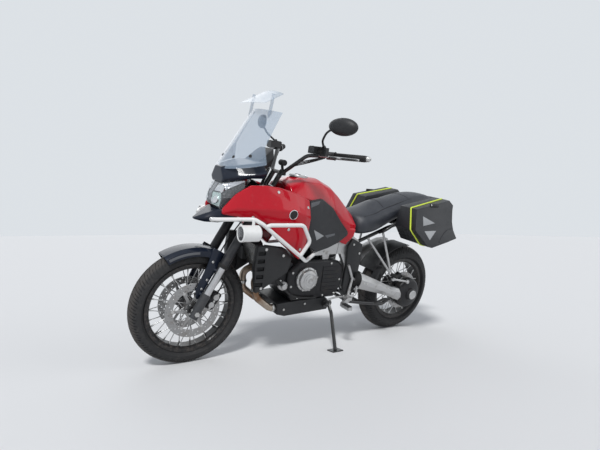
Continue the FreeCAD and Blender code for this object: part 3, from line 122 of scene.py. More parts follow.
class Finish:
    """A procedural material, with the noises, masks and mixes that it is made of."""

    def __init__(self, name):
        self.material = bpy.data.materials.new(name)
        self.material.use_nodes = True
        self.tree = self.material.node_tree
        self.tree.nodes.clear()
        self.output = self.add("ShaderNodeOutputMaterial")
        self.place = self.add("ShaderNodeTexCoord").outputs["Object"]

    def add(self, kind, settings=None, **values):
        """A node with its settings, then the values or links of its sockets by number or name."""
        node = self.tree.nodes.new(kind)
        for key, value in (settings or {}).items():
            setattr(node, key, value)
        for key, value in values.items():
            number = key[1:] if key[0] == "_" else ""
            socket = node.inputs[int(number)] if number.isdigit() else node.inputs[key.replace("_", " ")]
            value = value.socket if isinstance(value, Channel) else value
            if isinstance(value, bpy.types.NodeSocket):
                self.tree.links.new(value, socket)
            else:
                socket.default_value = value
        return node

    def maths(self, operation, *values):
        sockets = {f"_{number}": value for number, value in enumerate(values)}
        return Channel(self, self.add("ShaderNodeMath", {"operation": operation}, **sockets).outputs[0])

    def noise(self, scale, detail=4, roughness=0.5):
        node = self.add("ShaderNodeTexNoise", None, Vector=self.place, Scale=scale, Detail=detail,
                        Roughness=roughness)
        return Channel(self, node.outputs["Fac"])

    def cells(self, scale, feature="F1"):
        node = self.add("ShaderNodeTexVoronoi", {"feature": feature}, Vector=self.place, Scale=scale)
        return Channel(self, node.outputs["Distance"])

    def band(self, value, low, high):
        """0 below low, 1 above high, and a smooth step between."""
        node = self.add("ShaderNodeMapRange", {"interpolation_type": "SMOOTHSTEP"}, Value=value,
                        From_Min=low, From_Max=high)
        return Channel(self, node.outputs["Result"])

    def mix(self, factor, first, last):
        node = self.add("ShaderNodeMix", {"data_type": "RGBA"}, _0=factor, _6=first, _7=last)
        return node.outputs[2]

    def upright(self, origin=Vector((0, 0, 0))):
        """x, y and z in the upright frame, from an origin given there."""
        location = UPRIGHT.translation - origin
        node = self.add("ShaderNodeMapping", None, Vector=self.place, Location=location,
                        Rotation=(LEAN, 0, 0))
        split = self.add("ShaderNodeSeparateXYZ", None, Vector=node.outputs[0])
        return [Channel(self, socket) for socket in split.outputs]

    def from_axle(self, axle):
        """The distance from an axle."""
        x, _, z = self.upright(axle)
        return (x * x + z * z) ** 0.5

    def bump(self, height, depth, normal=None):
        """A bump of that depth in metres, over another bump where one is given."""
        values = {"Height": height, "Distance": depth, "Strength": 1.0}
        if normal is not None:
            values["Normal"] = normal
        return self.add("ShaderNodeBump", None, **values).outputs[0]

    def surface(self, **values):
        shader = self.add("ShaderNodeBsdfPrincipled", None, **values)
        self.tree.links.new(shader.outputs[0], self.output.inputs[0])
        return self.material


def rgb(red, green, blue):
    return (red, green, blue, 1.0)


def gloss_paint(name, colour, dark, coat=1.0):
    """Clear-coated paint with faint orange peel and a film of dust in patches."""
    f = Finish(name)
    # Painted shade: the colour is mixed in patches towards a darker copy of itself, which stands for shade on the
    # panels.
    tone = f.mix(f.noise(7, 3) * 0.5, colour, dark)
    dust = f.band(f.noise(38, 6, 0.65) + f.noise(260, 2) * 0.15, 0.62, 0.86) * 0.06
    tone = f.mix(dust, tone, rgb(0.3, 0.26, 0.24))
    peel = f.bump(f.noise(420, 2), 0.00004)
    return f.surface(Base_Color=tone, Roughness=dust * 1.2 + 0.3, Specular_IOR_Level=0.15, Coat_Weight=coat,
                     Coat_Roughness=0.03, Normal=peel)


def moulded(name, colour, pale, rough=0.55, grain=1500, depth=0.00012, dusty=0.3):
    """Grained moulded plastic, paler where it is rubbed and dusty."""
    f = Finish(name)
    worn = f.band(f.noise(30, 8, 0.62), 0.5, 0.85) * dusty
    tone = f.mix(worn, colour, pale)
    grains = f.cells(grain)
    normal = f.bump(grains, depth)
    return f.surface(Base_Color=tone, Roughness=f.noise(60, 4) * 0.18 + (rough - 0.09), Normal=normal)


def cast_metal(name, colour, dirt, rough=0.42, metal=0.9, depth=0.00022):
    """Sand-cast alloy: fine pimples, dull patches and dirt that gathers in spots."""
    f = Finish(name)
    stain = f.band(f.noise(26, 7, 0.6), 0.52, 0.78) * 0.6
    specks = f.band(f.noise(520, 3, 0.6), 0.62, 0.74) * 0.35
    tone = f.mix(stain, colour, dirt)
    tone = f.mix(specks, tone, dirt)
    skin = f.bump(f.noise(900, 3, 0.6), depth)
    return f.surface(Base_Color=tone, Metallic=metal, Roughness=stain * 0.2 + rough, Normal=skin)


def coated_metal(name, colour, chip, rough=0.32, metal=0.0, coat=0.3, chips=0.5):
    """Powder-coated tube or plate with small stone chips and dust."""
    f = Finish(name)
    spots = f.band(f.noise(240, 5, 0.7), 0.68, 0.72) * chips
    dust = f.band(f.noise(22, 7, 0.65), 0.5, 0.85) * 0.22
    tone = f.mix(dust, colour, rgb(0.3, 0.27, 0.24))
    tone = f.mix(spots, tone, chip)
    normal = f.bump(f.noise(1300, 2), 0.00005)
    return f.surface(Base_Color=tone, Metallic=metal, Roughness=dust * 0.9 + rough, Coat_Weight=coat,
                     Coat_Roughness=0.15, Normal=normal)


def tyre_rubber(name, axle):
    """Black rubber, browner where it meets the road, with fine mould lines round the wall."""
    f = Finish(name)
    radius = f.from_axle(axle)
    grit = f.noise(150, 6, 0.7)
    road = f.band(radius + grit * 0.006, 0.309, 0.322)
    tone = f.mix(road * 0.7, rgb(0.018, 0.018, 0.019), rgb(0.062, 0.055, 0.05))
    tone = f.mix(f.band(f.noise(40, 8, 0.7), 0.5, 0.75) * 0.5, tone, rgb(0.085, 0.075, 0.066))
    lines = (radius * 2600).maths("SINE")
    normal = f.bump(lines * (1 - road) * 0.5 + f.noise(1400, 3) * 0.4, 0.00018)
    return f.surface(Base_Color=tone, Roughness=0.68 + grit * 0.2, Normal=normal)


def wire_wheel(name, axle, rim_inner, hub_outer):
    """Black rim, bright wire spokes and a grey cast hub, told apart by their distance from the axle."""
    f = Finish(name)
    radius = f.from_axle(axle)
    rim = f.band(radius, rim_inner, rim_inner + 0.0005)
    hub = 1 - f.band(radius, hub_outer, hub_outer + 0.0005)
    wire = (1 - rim) * (1 - hub)
    grime = f.band(f.noise(60, 6, 0.65), 0.42, 0.75)
    tone = f.mix(rim, rgb(0.5, 0.5, 0.5), rgb(0.012, 0.012, 0.013))
    tone = f.mix(hub, tone, rgb(0.05, 0.05, 0.052))
    tone = f.mix(grime * 0.4, tone, rgb(0.16, 0.13, 0.11))
    normal = f.bump(f.noise(900, 2), 0.00006)
    return f.surface(Base_Color=tone, Metallic=wire * 0.85 + 0.1, Roughness=grime * 0.25 + 0.28,
                     Normal=normal)


def fork_parts(name):
    """Black sleeves, bright sliding tubes and grey castings, told apart along the steering axis."""
    f = Finish(name)
    x, _, z = f.upright(STEER_FOOT)
    up = z * math.cos(RAKE) - x * math.sin(RAKE)
    sleeve = f.band(up, 0.6390, 0.6396)
    casting = 1 - f.band(up, 0.4574, 0.4580)
    grime = f.band(f.noise(34, 7, 0.6), 0.45, 0.8)
    tone = f.mix(sleeve, rgb(0.55, 0.55, 0.56), rgb(0.012, 0.013, 0.016))
    tone = f.mix(casting, tone, rgb(0.04, 0.042, 0.046))
    tone = f.mix(grime * 0.25, tone, rgb(0.12, 0.1, 0.09))
    bright = (1 - sleeve) * (1 - casting)
    normal = f.bump(f.noise(1100, 3) * (casting + 0.1), 0.00015)
    return f.surface(Base_Color=tone, Metallic=bright * 0.8 + 0.15,
                     Roughness=0.42 - bright * 0.27 + grime * 0.12, Normal=normal)


def lamp_inside(name):
    """Faceted reflectors each side of a dark middle, inside the lens, with a pale strip high in the middle that
    paints a sky reflection.
    """
    f = Finish(name)
    x, y, z = f.upright()
    across = y.maths("ABSOLUTE")
    beside = f.band(across, 0.030, 0.031)
    front = 1 - f.band(across, 0.018, 0.019)
    sill = (0.701 - x).maths("MAXIMUM", 0.0) * 0.64 + 0.991
    upper = f.band(z - sill, 0.0, 0.0015) * beside
    lower = (1 - f.band(z, 0.984, 0.986)) * f.band(x, 0.702, 0.704) * beside * f.band(z, 0.910, 0.912)
    facets = f.cells(75)
    silver = f.mix(facets * 9, rgb(0.16, 0.17, 0.2), rgb(0.62, 0.64, 0.68))
    tone = f.mix(upper, rgb(0.008, 0.009, 0.011), silver)
    tone = f.mix(lower, tone, rgb(0.5, 0.62, 0.6))
    # Painted reflection: a pale bluish strip high in the middle stands for the sky reflected at the lamp's front.
    tone = f.mix(front * f.band(z, 0.93, 0.94), tone, rgb(0.2, 0.21, 0.23))
    lit = (upper + lower).maths("MINIMUM", 1.0)
    return f.surface(Base_Color=tone, Metallic=lit * 0.6, Roughness=0.5 - lit * 0.25,
                     Normal=f.bump(facets, 0.004))


def reflector_face(name):
    """A lamp's ribbed reflector behind its lens."""
    f = Finish(name)
    facets = f.cells(150)
    tone = f.mix(facets * 16, rgb(0.3, 0.3, 0.3), rgb(0.04, 0.04, 0.045))
    return f.surface(Base_Color=tone, Metallic=0.5, Roughness=0.22, Coat_Weight=1.0, Coat_Roughness=0.03,
                     Normal=f.bump(facets, 0.002))


def brushed_disc(name, axle):
    """Ground steel with fine rings round the axle and a brown film."""
    f = Finish(name)
    radius = f.from_axle(axle)
    rings = (radius * 5200 + f.noise(30, 2) * 3).maths("SINE")
    film = f.band(f.noise(24, 6, 0.6), 0.45, 0.8)
    tone = f.mix(film * 0.6, rgb(0.36, 0.36, 0.36), rgb(0.2, 0.16, 0.13))
    normal = f.bump(rings, 0.00003)
    return f.surface(Base_Color=tone, Metallic=0.95, Roughness=film * 0.2 + 0.3, Normal=normal)


def tinted_pipe(name, cold, hot):
    """Steel pipe that heat has browned in patches."""
    f = Finish(name)
    heat = f.band(f.noise(9, 5, 0.6), 0.35, 0.7)
    tone = f.mix(heat, cold, hot)
    spots = f.band(f.noise(160, 6, 0.7), 0.6, 0.75) * 0.5
    tone = f.mix(spots, tone, rgb(0.1, 0.07, 0.05))
    return f.surface(Base_Color=tone, Metallic=0.9, Roughness=heat * 0.15 + 0.33,
                     Normal=f.bump(f.noise(700, 3), 0.00008))


def clear_sheet(name, tint, smoke):
    """Clear plastic sheet with a slight tint; on the screen the blue tint is partly a painted sky reflection."""
    f = Finish(name)
    return f.surface(Base_Color=tint, Roughness=0.03, IOR=1.49, Alpha=smoke, Coat_Weight=0.4,
                     Coat_Roughness=0.02)


def seat_cover(name, colour, pale):
    """Vinyl with a fine leather grain, paler in patches at random: partly wear, partly a painted sheen."""
    f = Finish(name)
    worn = f.band(f.noise(16, 6, 0.6), 0.42, 0.8)
    # Painted sheen: the paler patches are partly wear and partly a sheen painted into the colour.
    tone = f.mix(worn * 0.45, colour, pale)
    grain = f.cells(850, "DISTANCE_TO_EDGE")
    creases = f.cells(260, "DISTANCE_TO_EDGE")
    normal = f.bump(grain, 0.00035, f.bump(creases, 0.0003))
    return f.surface(Base_Color=tone, Roughness=worn * 0.12 + 0.42, Normal=normal)


FINISHES = {}


def make_finishes():
    """Every finish by name."""
    FINISHES.update({
        # Painted shade: the second, darker red is a shaded copy of the first.
        "red": gloss_paint("red_gloss_paint", rgb(0.5, 0.0, 0.012), rgb(0.36, 0.0, 0.008), 0.6),
        # Painted reflection: the blue in this dark plastic's colour partly stands for the sky reflected in it; the
        # rest is its own dark tone.
        "dark_sky_tinted": gloss_paint("blue_grey_gloss_plastic", rgb(0.011, 0.016, 0.03), rgb(0.007, 0.01, 0.017), 0.3),
        "dark": moulded("dark_moulded_plastic", rgb(0.009, 0.0095, 0.011), rgb(0.04, 0.04, 0.042), 0.5),
        "grey": moulded("grey_moulded_plastic", rgb(0.016, 0.017, 0.02), rgb(0.05, 0.052, 0.055), 0.5),
        "pale_panel": moulded("pale_grey_panel", rgb(0.3, 0.31, 0.32), rgb(0.4, 0.4, 0.4), 0.45, 1500,
                              0.00005, 0.2),
        "mid_panel": moulded("mid_grey_panel", rgb(0.1, 0.105, 0.115), rgb(0.16, 0.16, 0.17), 0.4, 1500,
                             0.00005, 0.2),
        "rubber": moulded("black_rubber", rgb(0.008, 0.008, 0.0085), rgb(0.035, 0.034, 0.033), 0.7, 2400,
                          0.0001),
        "bolt": cast_metal("zinc_plated_steel", rgb(0.55, 0.55, 0.54), rgb(0.25, 0.2, 0.15), 0.28, 1.0,
                           0.00003),
        "chrome": cast_metal("bright_reflector", rgb(0.75, 0.76, 0.78), rgb(0.5, 0.5, 0.5), 0.12, 1.0,
                             0.00002),
        "fork": fork_parts("fork_parts"),
        "lamp_inside": lamp_inside("headlamp_inside"),
        "reflector": reflector_face("fog_lamp_reflector"),
        "mirror": gloss_paint("mirror_glass", rgb(0.32, 0.35, 0.38), rgb(0.3, 0.33, 0.36)),
        "display": gloss_paint("display_glass", rgb(0.02, 0.026, 0.028), rgb(0.014, 0.018, 0.02)),
        "amber": gloss_paint("amber_lens", rgb(0.62, 0.18, 0.01), rgb(0.45, 0.12, 0.006)),
        "silver": cast_metal("silver_cast_alloy", rgb(0.5, 0.5, 0.5), rgb(0.2, 0.17, 0.14)),
        "engine": cast_metal("dark_cast_alloy", rgb(0.017, 0.017, 0.019), rgb(0.06, 0.05, 0.042), 0.42, 0.4),
        "black": coated_metal("black_coated_steel", rgb(0.008, 0.008, 0.009), rgb(0.14, 0.13, 0.12)),
        "white": coated_metal("white_coated_steel", rgb(0.78, 0.78, 0.77), rgb(0.12, 0.1, 0.09), 0.3, 0.0,
                              0.5, 0.35),
        "pipe": tinted_pipe("browned_header_pipe", rgb(0.42, 0.36, 0.3), rgb(0.2, 0.11, 0.06)),
        "silencer": tinted_pipe("silencer_steel", rgb(0.42, 0.42, 0.42), rgb(0.34, 0.33, 0.32)),
        "disc_front": brushed_disc("front_disc_steel", FRONT_AXLE),
        "disc_rear": brushed_disc("rear_disc_steel", REAR_AXLE),
        "wheel_front": wire_wheel("front_wheel_parts", FRONT_AXLE, 0.226, 0.0445),
        "wheel_rear": wire_wheel("rear_wheel_parts", REAR_AXLE, 0.202, 0.0725),
        "tyre_front": tyre_rubber("front_tyre_rubber", FRONT_AXLE),
        "tyre_rear": tyre_rubber("rear_tyre_rubber", REAR_AXLE),
        # Painted reflection: the screen's blue tint partly stands for the sky reflected in it.
        "screen": clear_sheet("screen_sheet", rgb(0.34, 0.43, 0.54), 0.34),
        "lens": clear_sheet("lamp_lens", rgb(0.75, 0.8, 0.84), 0.12),
        "lamp_red": gloss_paint("red_lamp_lens", rgb(0.4, 0.004, 0.004), rgb(0.2, 0.002, 0.002)),
        "plate": gloss_paint("blank_plate", rgb(0.62, 0.62, 0.6), rgb(0.55, 0.55, 0.53)),
        "seat": seat_cover("seat_vinyl", rgb(0.022, 0.025, 0.033), rgb(0.06, 0.063, 0.072)),
        "case": moulded("pannier_shell_plastic", rgb(0.012, 0.013, 0.016), rgb(0.045, 0.045, 0.05), 0.45,
                        1100, 0.0002),
        "lime": moulded("lime_piping", rgb(0.66, 0.8, 0.06), rgb(0.6, 0.75, 0.2), 0.4, 1800, 0.00004, 0.1),
    })


# The finish of each node
NODE_FINISHES = {
    "front_wheel": "wheel_front", "rear_wheel": "wheel_rear", "front_discs": "disc_front",
    "rear_disc": "disc_rear", "fork": "fork", "handlebar": "black", "mirrors": "dark",
    "front_mudguard": "dark_sky_tinted", "front_calipers": "engine", "frame_spar_left": "silver",
    "frame_spar_right": "silver", "steering_head": "black", "subframe": "black", "crankcase": "engine",
    "alternator_cover": "silver", "clutch_cover": "engine", "front_cylinders": "engine",
    "rear_cylinders": "engine", "radiators": "dark", "exhaust_headers": "pipe", "belly_pan": "dark",
    "silencer": "silencer", "fuel_tank": "red", "side_fairing_left": "red", "side_fairing_right": "red",
    "knee_pads": "grey", "beak": "dark_sky_tinted", "headlamp": "lens", "front_cowl": "dark_sky_tinted", "dashboard": "dark",
    "windscreen": "screen", "screen_spoiler": "screen", "tail_unit": "dark", "rear_carrier": "grey",
    "tail_lamp": "lamp_red", "plate_holder": "dark", "number_plate": "plate", "swingarm": "silver",
    "final_drive": "engine", "rear_hugger": "dark", "rear_caliper": "engine", "pivot_covers": "dark",
    "foot_pegs": "silver", "crash_bar_left": "white", "crash_bar_right": "white", "fog_lamps": "white",
    "pannier_left": "case", "pannier_right": "case", "pannier_lid_left": "case",
    "pannier_lid_right": "case", "pannier_racks": "black", "side_stand": "black",
    "stand_brackets": "black", "centre_stand": "black", "front_tyre": "tyre_front",
    "rear_tyre": "tyre_rear", "seat": "seat",
}
BODY_OF = {node: body for body, nodes in frame["record"]["behaviour"]["bodies"].items() for node in nodes}


# Modelling helpers
def clear():
    """Object mode, with nothing selected."""
    if bpy.context.mode != "OBJECT":
        bpy.ops.object.mode_set(mode="OBJECT")
    bpy.ops.object.select_all(action="DESELECT")


def activate(*pieces):
    clear()
    for piece in pieces:
        piece.select_set(True)
    bpy.context.view_layer.objects.active = pieces[0]


def added(name):
    """The object that an operator has just added, under its own name."""
    piece = bpy.context.object
    piece.name = name
    piece.data.name = name
    return piece


def edit(piece, parts="polygons", test=lambda item: True):
    """Edit mode with the faces, edges or vertices that pass a test selected."""
    activate(piece)
    mesh = piece.data
    kinds = ("vertices", "edges", "polygons")
    for kind in kinds:
        items = getattr(mesh, kind)
        items.foreach_set("select", [False] * len(items))
    for item in getattr(mesh, parts):
        item.select = bool(test(item))
    bpy.context.tool_settings.mesh_select_mode = [parts == kind for kind in kinds]
    bpy.ops.object.mode_set(mode="EDIT")


def apply_modifier(piece, kind, **settings):
    activate(piece)
    modifier = piece.modifiers.new(kind.lower(), kind)
    for key, value in settings.items():
        setattr(modifier, key, value)
    bpy.ops.object.modifier_apply(modifier=modifier.name)


def smooth(piece, degrees=35):
    activate(piece)
    bpy.ops.object.shade_smooth_by_angle(angle=math.radians(degrees))


def dress(piece, body, finish, upright=True):
    """Lean a piece with the motorcycle, apply its place, give it its finish and let it ride on a body."""
    if upright:
        piece.matrix_world = PLACE @ piece.matrix_world
    activate(piece)
    bpy.ops.object.transform_apply(location=True, rotation=True, scale=True)
    piece.data.materials.clear()
    piece.data.materials.append(FINISHES[finish])
    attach(piece, body)
    return piece


def joined(name, pieces):
    activate(*pieces)
    if len(pieces) > 1:
        bpy.ops.object.join()
    return added(name)


def aim(start, direction):
    """A place whose Z axis points along a direction."""
    return Matrix.Translation(start) @ direction.to_track_quat("Z", "Y").to_matrix().to_4x4()


def repeated(name, template, places):
    """Copies of one shape, each with its own mesh, joined in one piece."""
    copies = []
    for place in places:
        copy = bpy.data.objects.new(name, template.data.copy())
        bpy.context.scene.collection.objects.link(copy)
        copy.matrix_world = place
        copies.append(copy)
    bpy.data.objects.remove(template)
    return joined(name, copies)


def gridded(name, columns, rows, place):
    """A grid whose corners are moved to place(column, row) and merged where they meet."""
    clear()
    bpy.ops.mesh.primitive_grid_add(x_subdivisions=columns, y_subdivisions=rows, size=2)
    piece = added(name)
    for vertex in piece.data.vertices:
        column = round((vertex.co.x + 1) / 2 * columns)
        row = round((vertex.co.y + 1) / 2 * rows)
        vertex.co = place(column, row)
    edit(piece)
    bpy.ops.mesh.remove_doubles(threshold=0.00001)
    bpy.ops.mesh.normals_make_consistent(inside=False)
    clear()
    return piece


def turned(name, profile, start, direction, steps=32):
    """A shape turned about an axis, from its profile as (along, radius) in millimetres."""
    def place(column, row):
        along, radius = profile[row]
        turn = math.tau * (column % steps) / steps
        return mm(radius * math.cos(turn), radius * math.sin(turn), along)

    piece = gridded(name, steps, len(profile) - 1, place)
    piece.matrix_world = aim(start, direction)
    return piece


def rod(name, start, end, radius, edge=1.0, sides=24):
    """A bar between two points, its ends rounded."""
    clear()
    bpy.ops.mesh.primitive_cylinder_add(vertices=sides, radius=radius / 1000, depth=(end - start).length)
    piece = added(name)
    corners = piece.data.vertices
    edit(piece, "edges", lambda item: corners[item.vertices[0]].co.z * corners[item.vertices[1]].co.z > 0)
    bpy.ops.mesh.bevel(offset=edge / 1000, segments=2, affect="EDGES")
    clear()
    piece.matrix_world = aim((start + end) / 2, end - start)
    return piece


def block(name, size, place, edge=1.5, turn=Matrix.Identity(4)):
    """A box with rounded edges, its size in millimetres along its own axes."""
    clear()
    bpy.ops.mesh.primitive_cube_add(size=1)
    piece = added(name)
    edit(piece)
    bpy.ops.transform.resize(value=mm(*size))
    bpy.ops.mesh.bevel(offset=edge / 1000, segments=2, affect="EDGES")
    clear()
    piece.matrix_world = Matrix.Translation(place) @ turn
    return piece


def plate(name, corners, push, edge=0.6):
    """A flat piece from its corners in order, as thick as a push."""
    clear()
    bpy.ops.mesh.primitive_circle_add(vertices=len(corners), fill_type="NGON")
    piece = added(name)
    for vertex, corner in zip(piece.data.vertices, corners):
        vertex.co = corner
    edit(piece)
    bpy.ops.mesh.extrude_region_move(TRANSFORM_OT_translate={"value": push})
    bpy.ops.mesh.select_all(action="SELECT")
    bpy.ops.mesh.normals_make_consistent(inside=False)
    bpy.ops.mesh.bevel(offset=edge / 1000, segments=2, affect="EDGES")
    clear()
    return piece


def hose(name, points, radius, tight=0, sides=3):
    """A bent tube along a smooth curve. Where tight is given, points that far off hold it to its corners."""
    held = [points[0]]
    for before, corner, after in zip(points, points[1:], points[2:]):
        back = (before - corner).normalized() * tight / 1000
        ahead = (after - corner).normalized() * tight / 1000
        held += [corner + back, corner, corner + ahead] if tight else [corner]
    held.append(points[-1])
    clear()
    bpy.ops.curve.primitive_nurbs_path_add()
    piece = added(name)
    curve = piece.data
    curve.splines.clear()
    spline = curve.splines.new("NURBS")
    spline.points.add(len(held) - 1)
    for point, place in zip(spline.points, held):
        point.co = (*place, 1)
    spline.order_u = 3
    spline.use_endpoint_u = True
    spline.resolution_u = 6
    curve.bevel_depth = radius / 1000
    curve.bevel_resolution = sides
    curve.use_fill_caps = True
    activate(piece)
    bpy.ops.object.convert(target="MESH")
    piece = added(name)
    edit(piece)
    bpy.ops.mesh.remove_doubles(threshold=0.00001)
    bpy.ops.mesh.normals_make_consistent(inside=False)
    clear()
    return piece


def coil(name, start, end, radius, wire, turns):
    """A spring between two points."""
    steps = turns * 8
    place = aim(start, end - start)
    pitch = (end - start).length / steps
    points = [place @ Vector((radius / 1000 * math.cos(math.tau * step / 8),
                              radius / 1000 * math.sin(math.tau * step / 8),
                              pitch * step)) for step in range(steps + 1)]
    return hose(name, points, wire, 0, 2)


def bolts(name, spots, radius=5, height=4):
    """Cap screws with hexagon sockets, from the place and direction of each."""
    clear()
    bpy.ops.mesh.primitive_cylinder_add(vertices=18, radius=1, depth=1, location=(0, 0, 0.5))
    bpy.ops.object.transform_apply(location=True)
    head = added(name)
    edit(head, "polygons", lambda face: face.normal.z > 0.9)
    bpy.ops.mesh.bevel(offset=0.14, segments=2, affect="EDGES")
    bpy.ops.mesh.inset(thickness=0.36)
    bpy.ops.mesh.extrude_region_move(TRANSFORM_OT_translate={"value": (0, 0, -0.5)})
    clear()
    size = Matrix.Diagonal((radius / 1000, radius / 1000, height / 1000, 1))
    return repeated(name, head, [aim(place, direction) @ size for place, direction in spots])


def fit(name, pieces, node, finish, degrees=35):
    """Join shapes in one piece that rides with a node's body, with the finish given."""
    piece = joined(name, pieces)
    smooth(piece, degrees)
    return dress(piece, BODY_OF[node], finish)


def fronted(radius, height):
    """The profile of a shallow round cap: flat foot, rounded edge and slightly domed face."""
    return [(0, 0), (0, radius), (height * 0.6, radius), (height, radius - height * 0.4),
            (height * 1.1, radius * 0.5), (height * 1.12, 0)]


def mirrored(side, points):
    """Places in millimetres, given for the left side, on either side."""
    return [mm(x, side * y, z) for x, y, z in points]


def round_axle(centre, radius, turn, across=0):
    """A place in millimetres from a centre, turned about Y from straight ahead."""
    return centre + mm(radius * math.cos(turn), across, radius * math.sin(turn))


# Search trees of the nodes that rays are sent at
TREES = {}


def tree_of(mesh):
    return BVHTree.FromPolygons([vertex.co for vertex in mesh.vertices],
                                [face.vertices for face in mesh.polygons])


def struck(node, start, direction):
    """Where a ray meets a node, and the outward direction there, in the upright frame."""
    if node not in TREES:
        TREES[node] = tree_of(NODES[node].data)
    place, normal, _, _ = TREES[node].ray_cast(PLACE @ start, PLACE.to_3x3() @ direction)
    if place is None:
        raise ValueError(f"{node} isn't met from {start}")
    return UPRIGHT @ place, UPRIGHT.to_3x3() @ normal


def beside(node, x, z, side):
    """The place on a node's outer side at x and z, in millimetres."""
    return struck(node, mm(x, side * 900, z), ALONG_Y * -side)


def ahead(node, y, z):
    return struck(node, mm(1400, y, z), -ALONG_X)


def above(node, x, y):
    return struck(node, mm(x, y, 1700), -ALONG_Z)


def patch(name, node, corners, side, lift=1.0, edge=0.4):
    """A thin plate laid on a node's outer side, from its corners as (x, z)."""
    spots = [beside(node, x, z, side) for x, z in corners]
    outward = sum((normal for _, normal in spots), Vector()).normalized()
    return plate(name, [place - outward * 0.002 for place, _ in spots], outward * (0.002 + lift / 1000), edge)


def merged(node, name):
    """A copy of a CAD node with its triangles merged."""
    copy = bpy.data.objects.new(name, NODES[node].data.copy())
    bpy.context.scene.collection.objects.link(copy)
    edit(copy)
    bpy.ops.mesh.remove_doubles(threshold=0.00002)
    bpy.ops.mesh.dissolve_limited(angle_limit=math.radians(0.6))
    clear()
    return copy


def skin(node, width, degrees=28, segments=2, shade=38):
    """A copy of a CAD node with its edges rounded, which stands for it."""
    copy = merged(node, node + "_skin")
    apply_modifier(copy, "BEVEL", width=width, segments=segments, limit_method="ANGLE",
                   angle_limit=math.radians(degrees), use_clamp_overlap=True)
    smooth(copy, shade)
    dress(copy, BODY_OF[node], NODE_FINISHES[node], upright=False)
    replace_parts(copy, node)
    return copy


# Grain of the bodywork's remesh, in metres
FLOW_GRAIN = 0.004


def flowing_skin(node, passes):
    """A copy of a CAD panel whose facets run into each other, which stands for it."""
    copy = merged(node, node + "_skin")
    apply_modifier(copy, "REMESH", mode="VOXEL", voxel_size=FLOW_GRAIN)
    apply_modifier(copy, "SMOOTH", factor=0.5, iterations=passes)
    smooth(copy, 60)
    dress(copy, BODY_OF[node], NODE_FINISHES[node], upright=False)
    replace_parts(copy, node)
    return copy


# Tyres
def tyre_section(radius, width, bead, foot, rim_radius, wall):
    """The closed section as (across, radius), from one bead over the crown to the other and back inside."""
    half = width / 2
    shoulder = radius - half
    steps = 24
    outer = [(-half * math.cos(math.pi * step / steps), shoulder + half * math.sin(math.pi * step / steps))
             for step in range(steps + 1)]
    start = [(-bead, rim_radius), (-bead, foot),
             (-bead - (half - bead) * 0.62, foot + (shoulder - foot) * 0.5)]
    end = [(-across, high) for across, high in reversed(start)]
    inner = [((half - wall) * math.cos(math.pi * step / 8),
              shoulder + (half - wall) * math.sin(math.pi * step / 8)) for step in range(9)]
    return start + outer + end + [(bead - wall, rim_radius)] + inner + [(wall - bead, rim_radius)]


# Grooves of one pitch of the tread, as their column, first row and last row, and the ring round the crown
GROOVES = ((1, 6, 13), (5, 16, 23), (5, 7, 10), (1, 19, 22))
CROWN_ROW = 14
GROOVE_DEPTH = 0.0045


def treaded_tyre(name, axle, radius, width, rim_radius, rim_width, pitches, lean):
    """One pitch of the tread is modelled with its grooves, then repeated round the axle."""
    section = tyre_section(radius, width, rim_width / 2 - 0.006, rim_radius + 0.015, rim_radius, 0.009)
    columns = 8
    rows = len(section)
    clear()
    bpy.ops.mesh.primitive_grid_add(x_subdivisions=columns, y_subdivisions=rows, size=2)
    piece = added(name)
    pitch = math.tau / pitches
    cells = {}
    for vertex in piece.data.vertices:
        column = round((vertex.co.x + 1) / 2 * columns)
        row = round((vertex.co.y + 1) / 2 * rows)
        across, high = section[row % rows]
        swept = lean * min(1, max(0, (abs(across) - 0.006) / (width / 2))) if 2 < row < 28 else lean
        angle = (column / columns + swept) * pitch
        vertex.co = axle + Vector((high * math.sin(angle), across, high * math.cos(angle)))
        cells[vertex.index] = (column, row)

    def grooved(face):
        corners = [cells[index] for index in face.vertices]
        column = min(corner[0] for corner in corners)
        row = min(corner[1] for corner in corners)
        cut = any(column == at and low <= row <= high for at, low, high in GROOVES)
        return cut or row == CROWN_ROW

    edit(piece, "polygons", grooved)
    bpy.ops.mesh.extrude_region_shrink_fatten(TRANSFORM_OT_shrink_fatten={"value": -GROOVE_DEPTH})
    clear()
    places = [Matrix.Translation(axle) @ Matrix.Rotation(pitch * number, 4, "Y") @ Matrix.Translation(-axle)
              for number in range(pitches)]
    whole = repeated(name, piece, places)
    edit(whole)
    bpy.ops.mesh.remove_doubles(threshold=0.00005)
    bpy.ops.mesh.normals_make_consistent(inside=False)
    clear()
    smooth(whole, 32)
    return whole


# Seat
SEAT_ROWS = (
    # x, low, high at the edge, low half, mid half, mid height, top half, crown, in millimetres
    (-229, 764, 874, 124, 136, 816, 76, 12),
    (-290, 756, 884, 138, 162, 842, 126, 18),
    (-380, 768, 898, 146, 168, 864, 126, 36),
    (-450, 798, 928, 144, 162, 884, 112, 50),
    (-560, 854, 960, 136, 152, 920, 104, 29),
    (-640, 876, 988, 132, 146, 946, 104, 23),
    (-740, 898, 1020, 128, 140, 970, 100, 13),
    (-880, 926, 1038, 116, 130, 988, 96, 9),
    (-974, 962, 1020, 94, 102, 994, 80, 4),
)


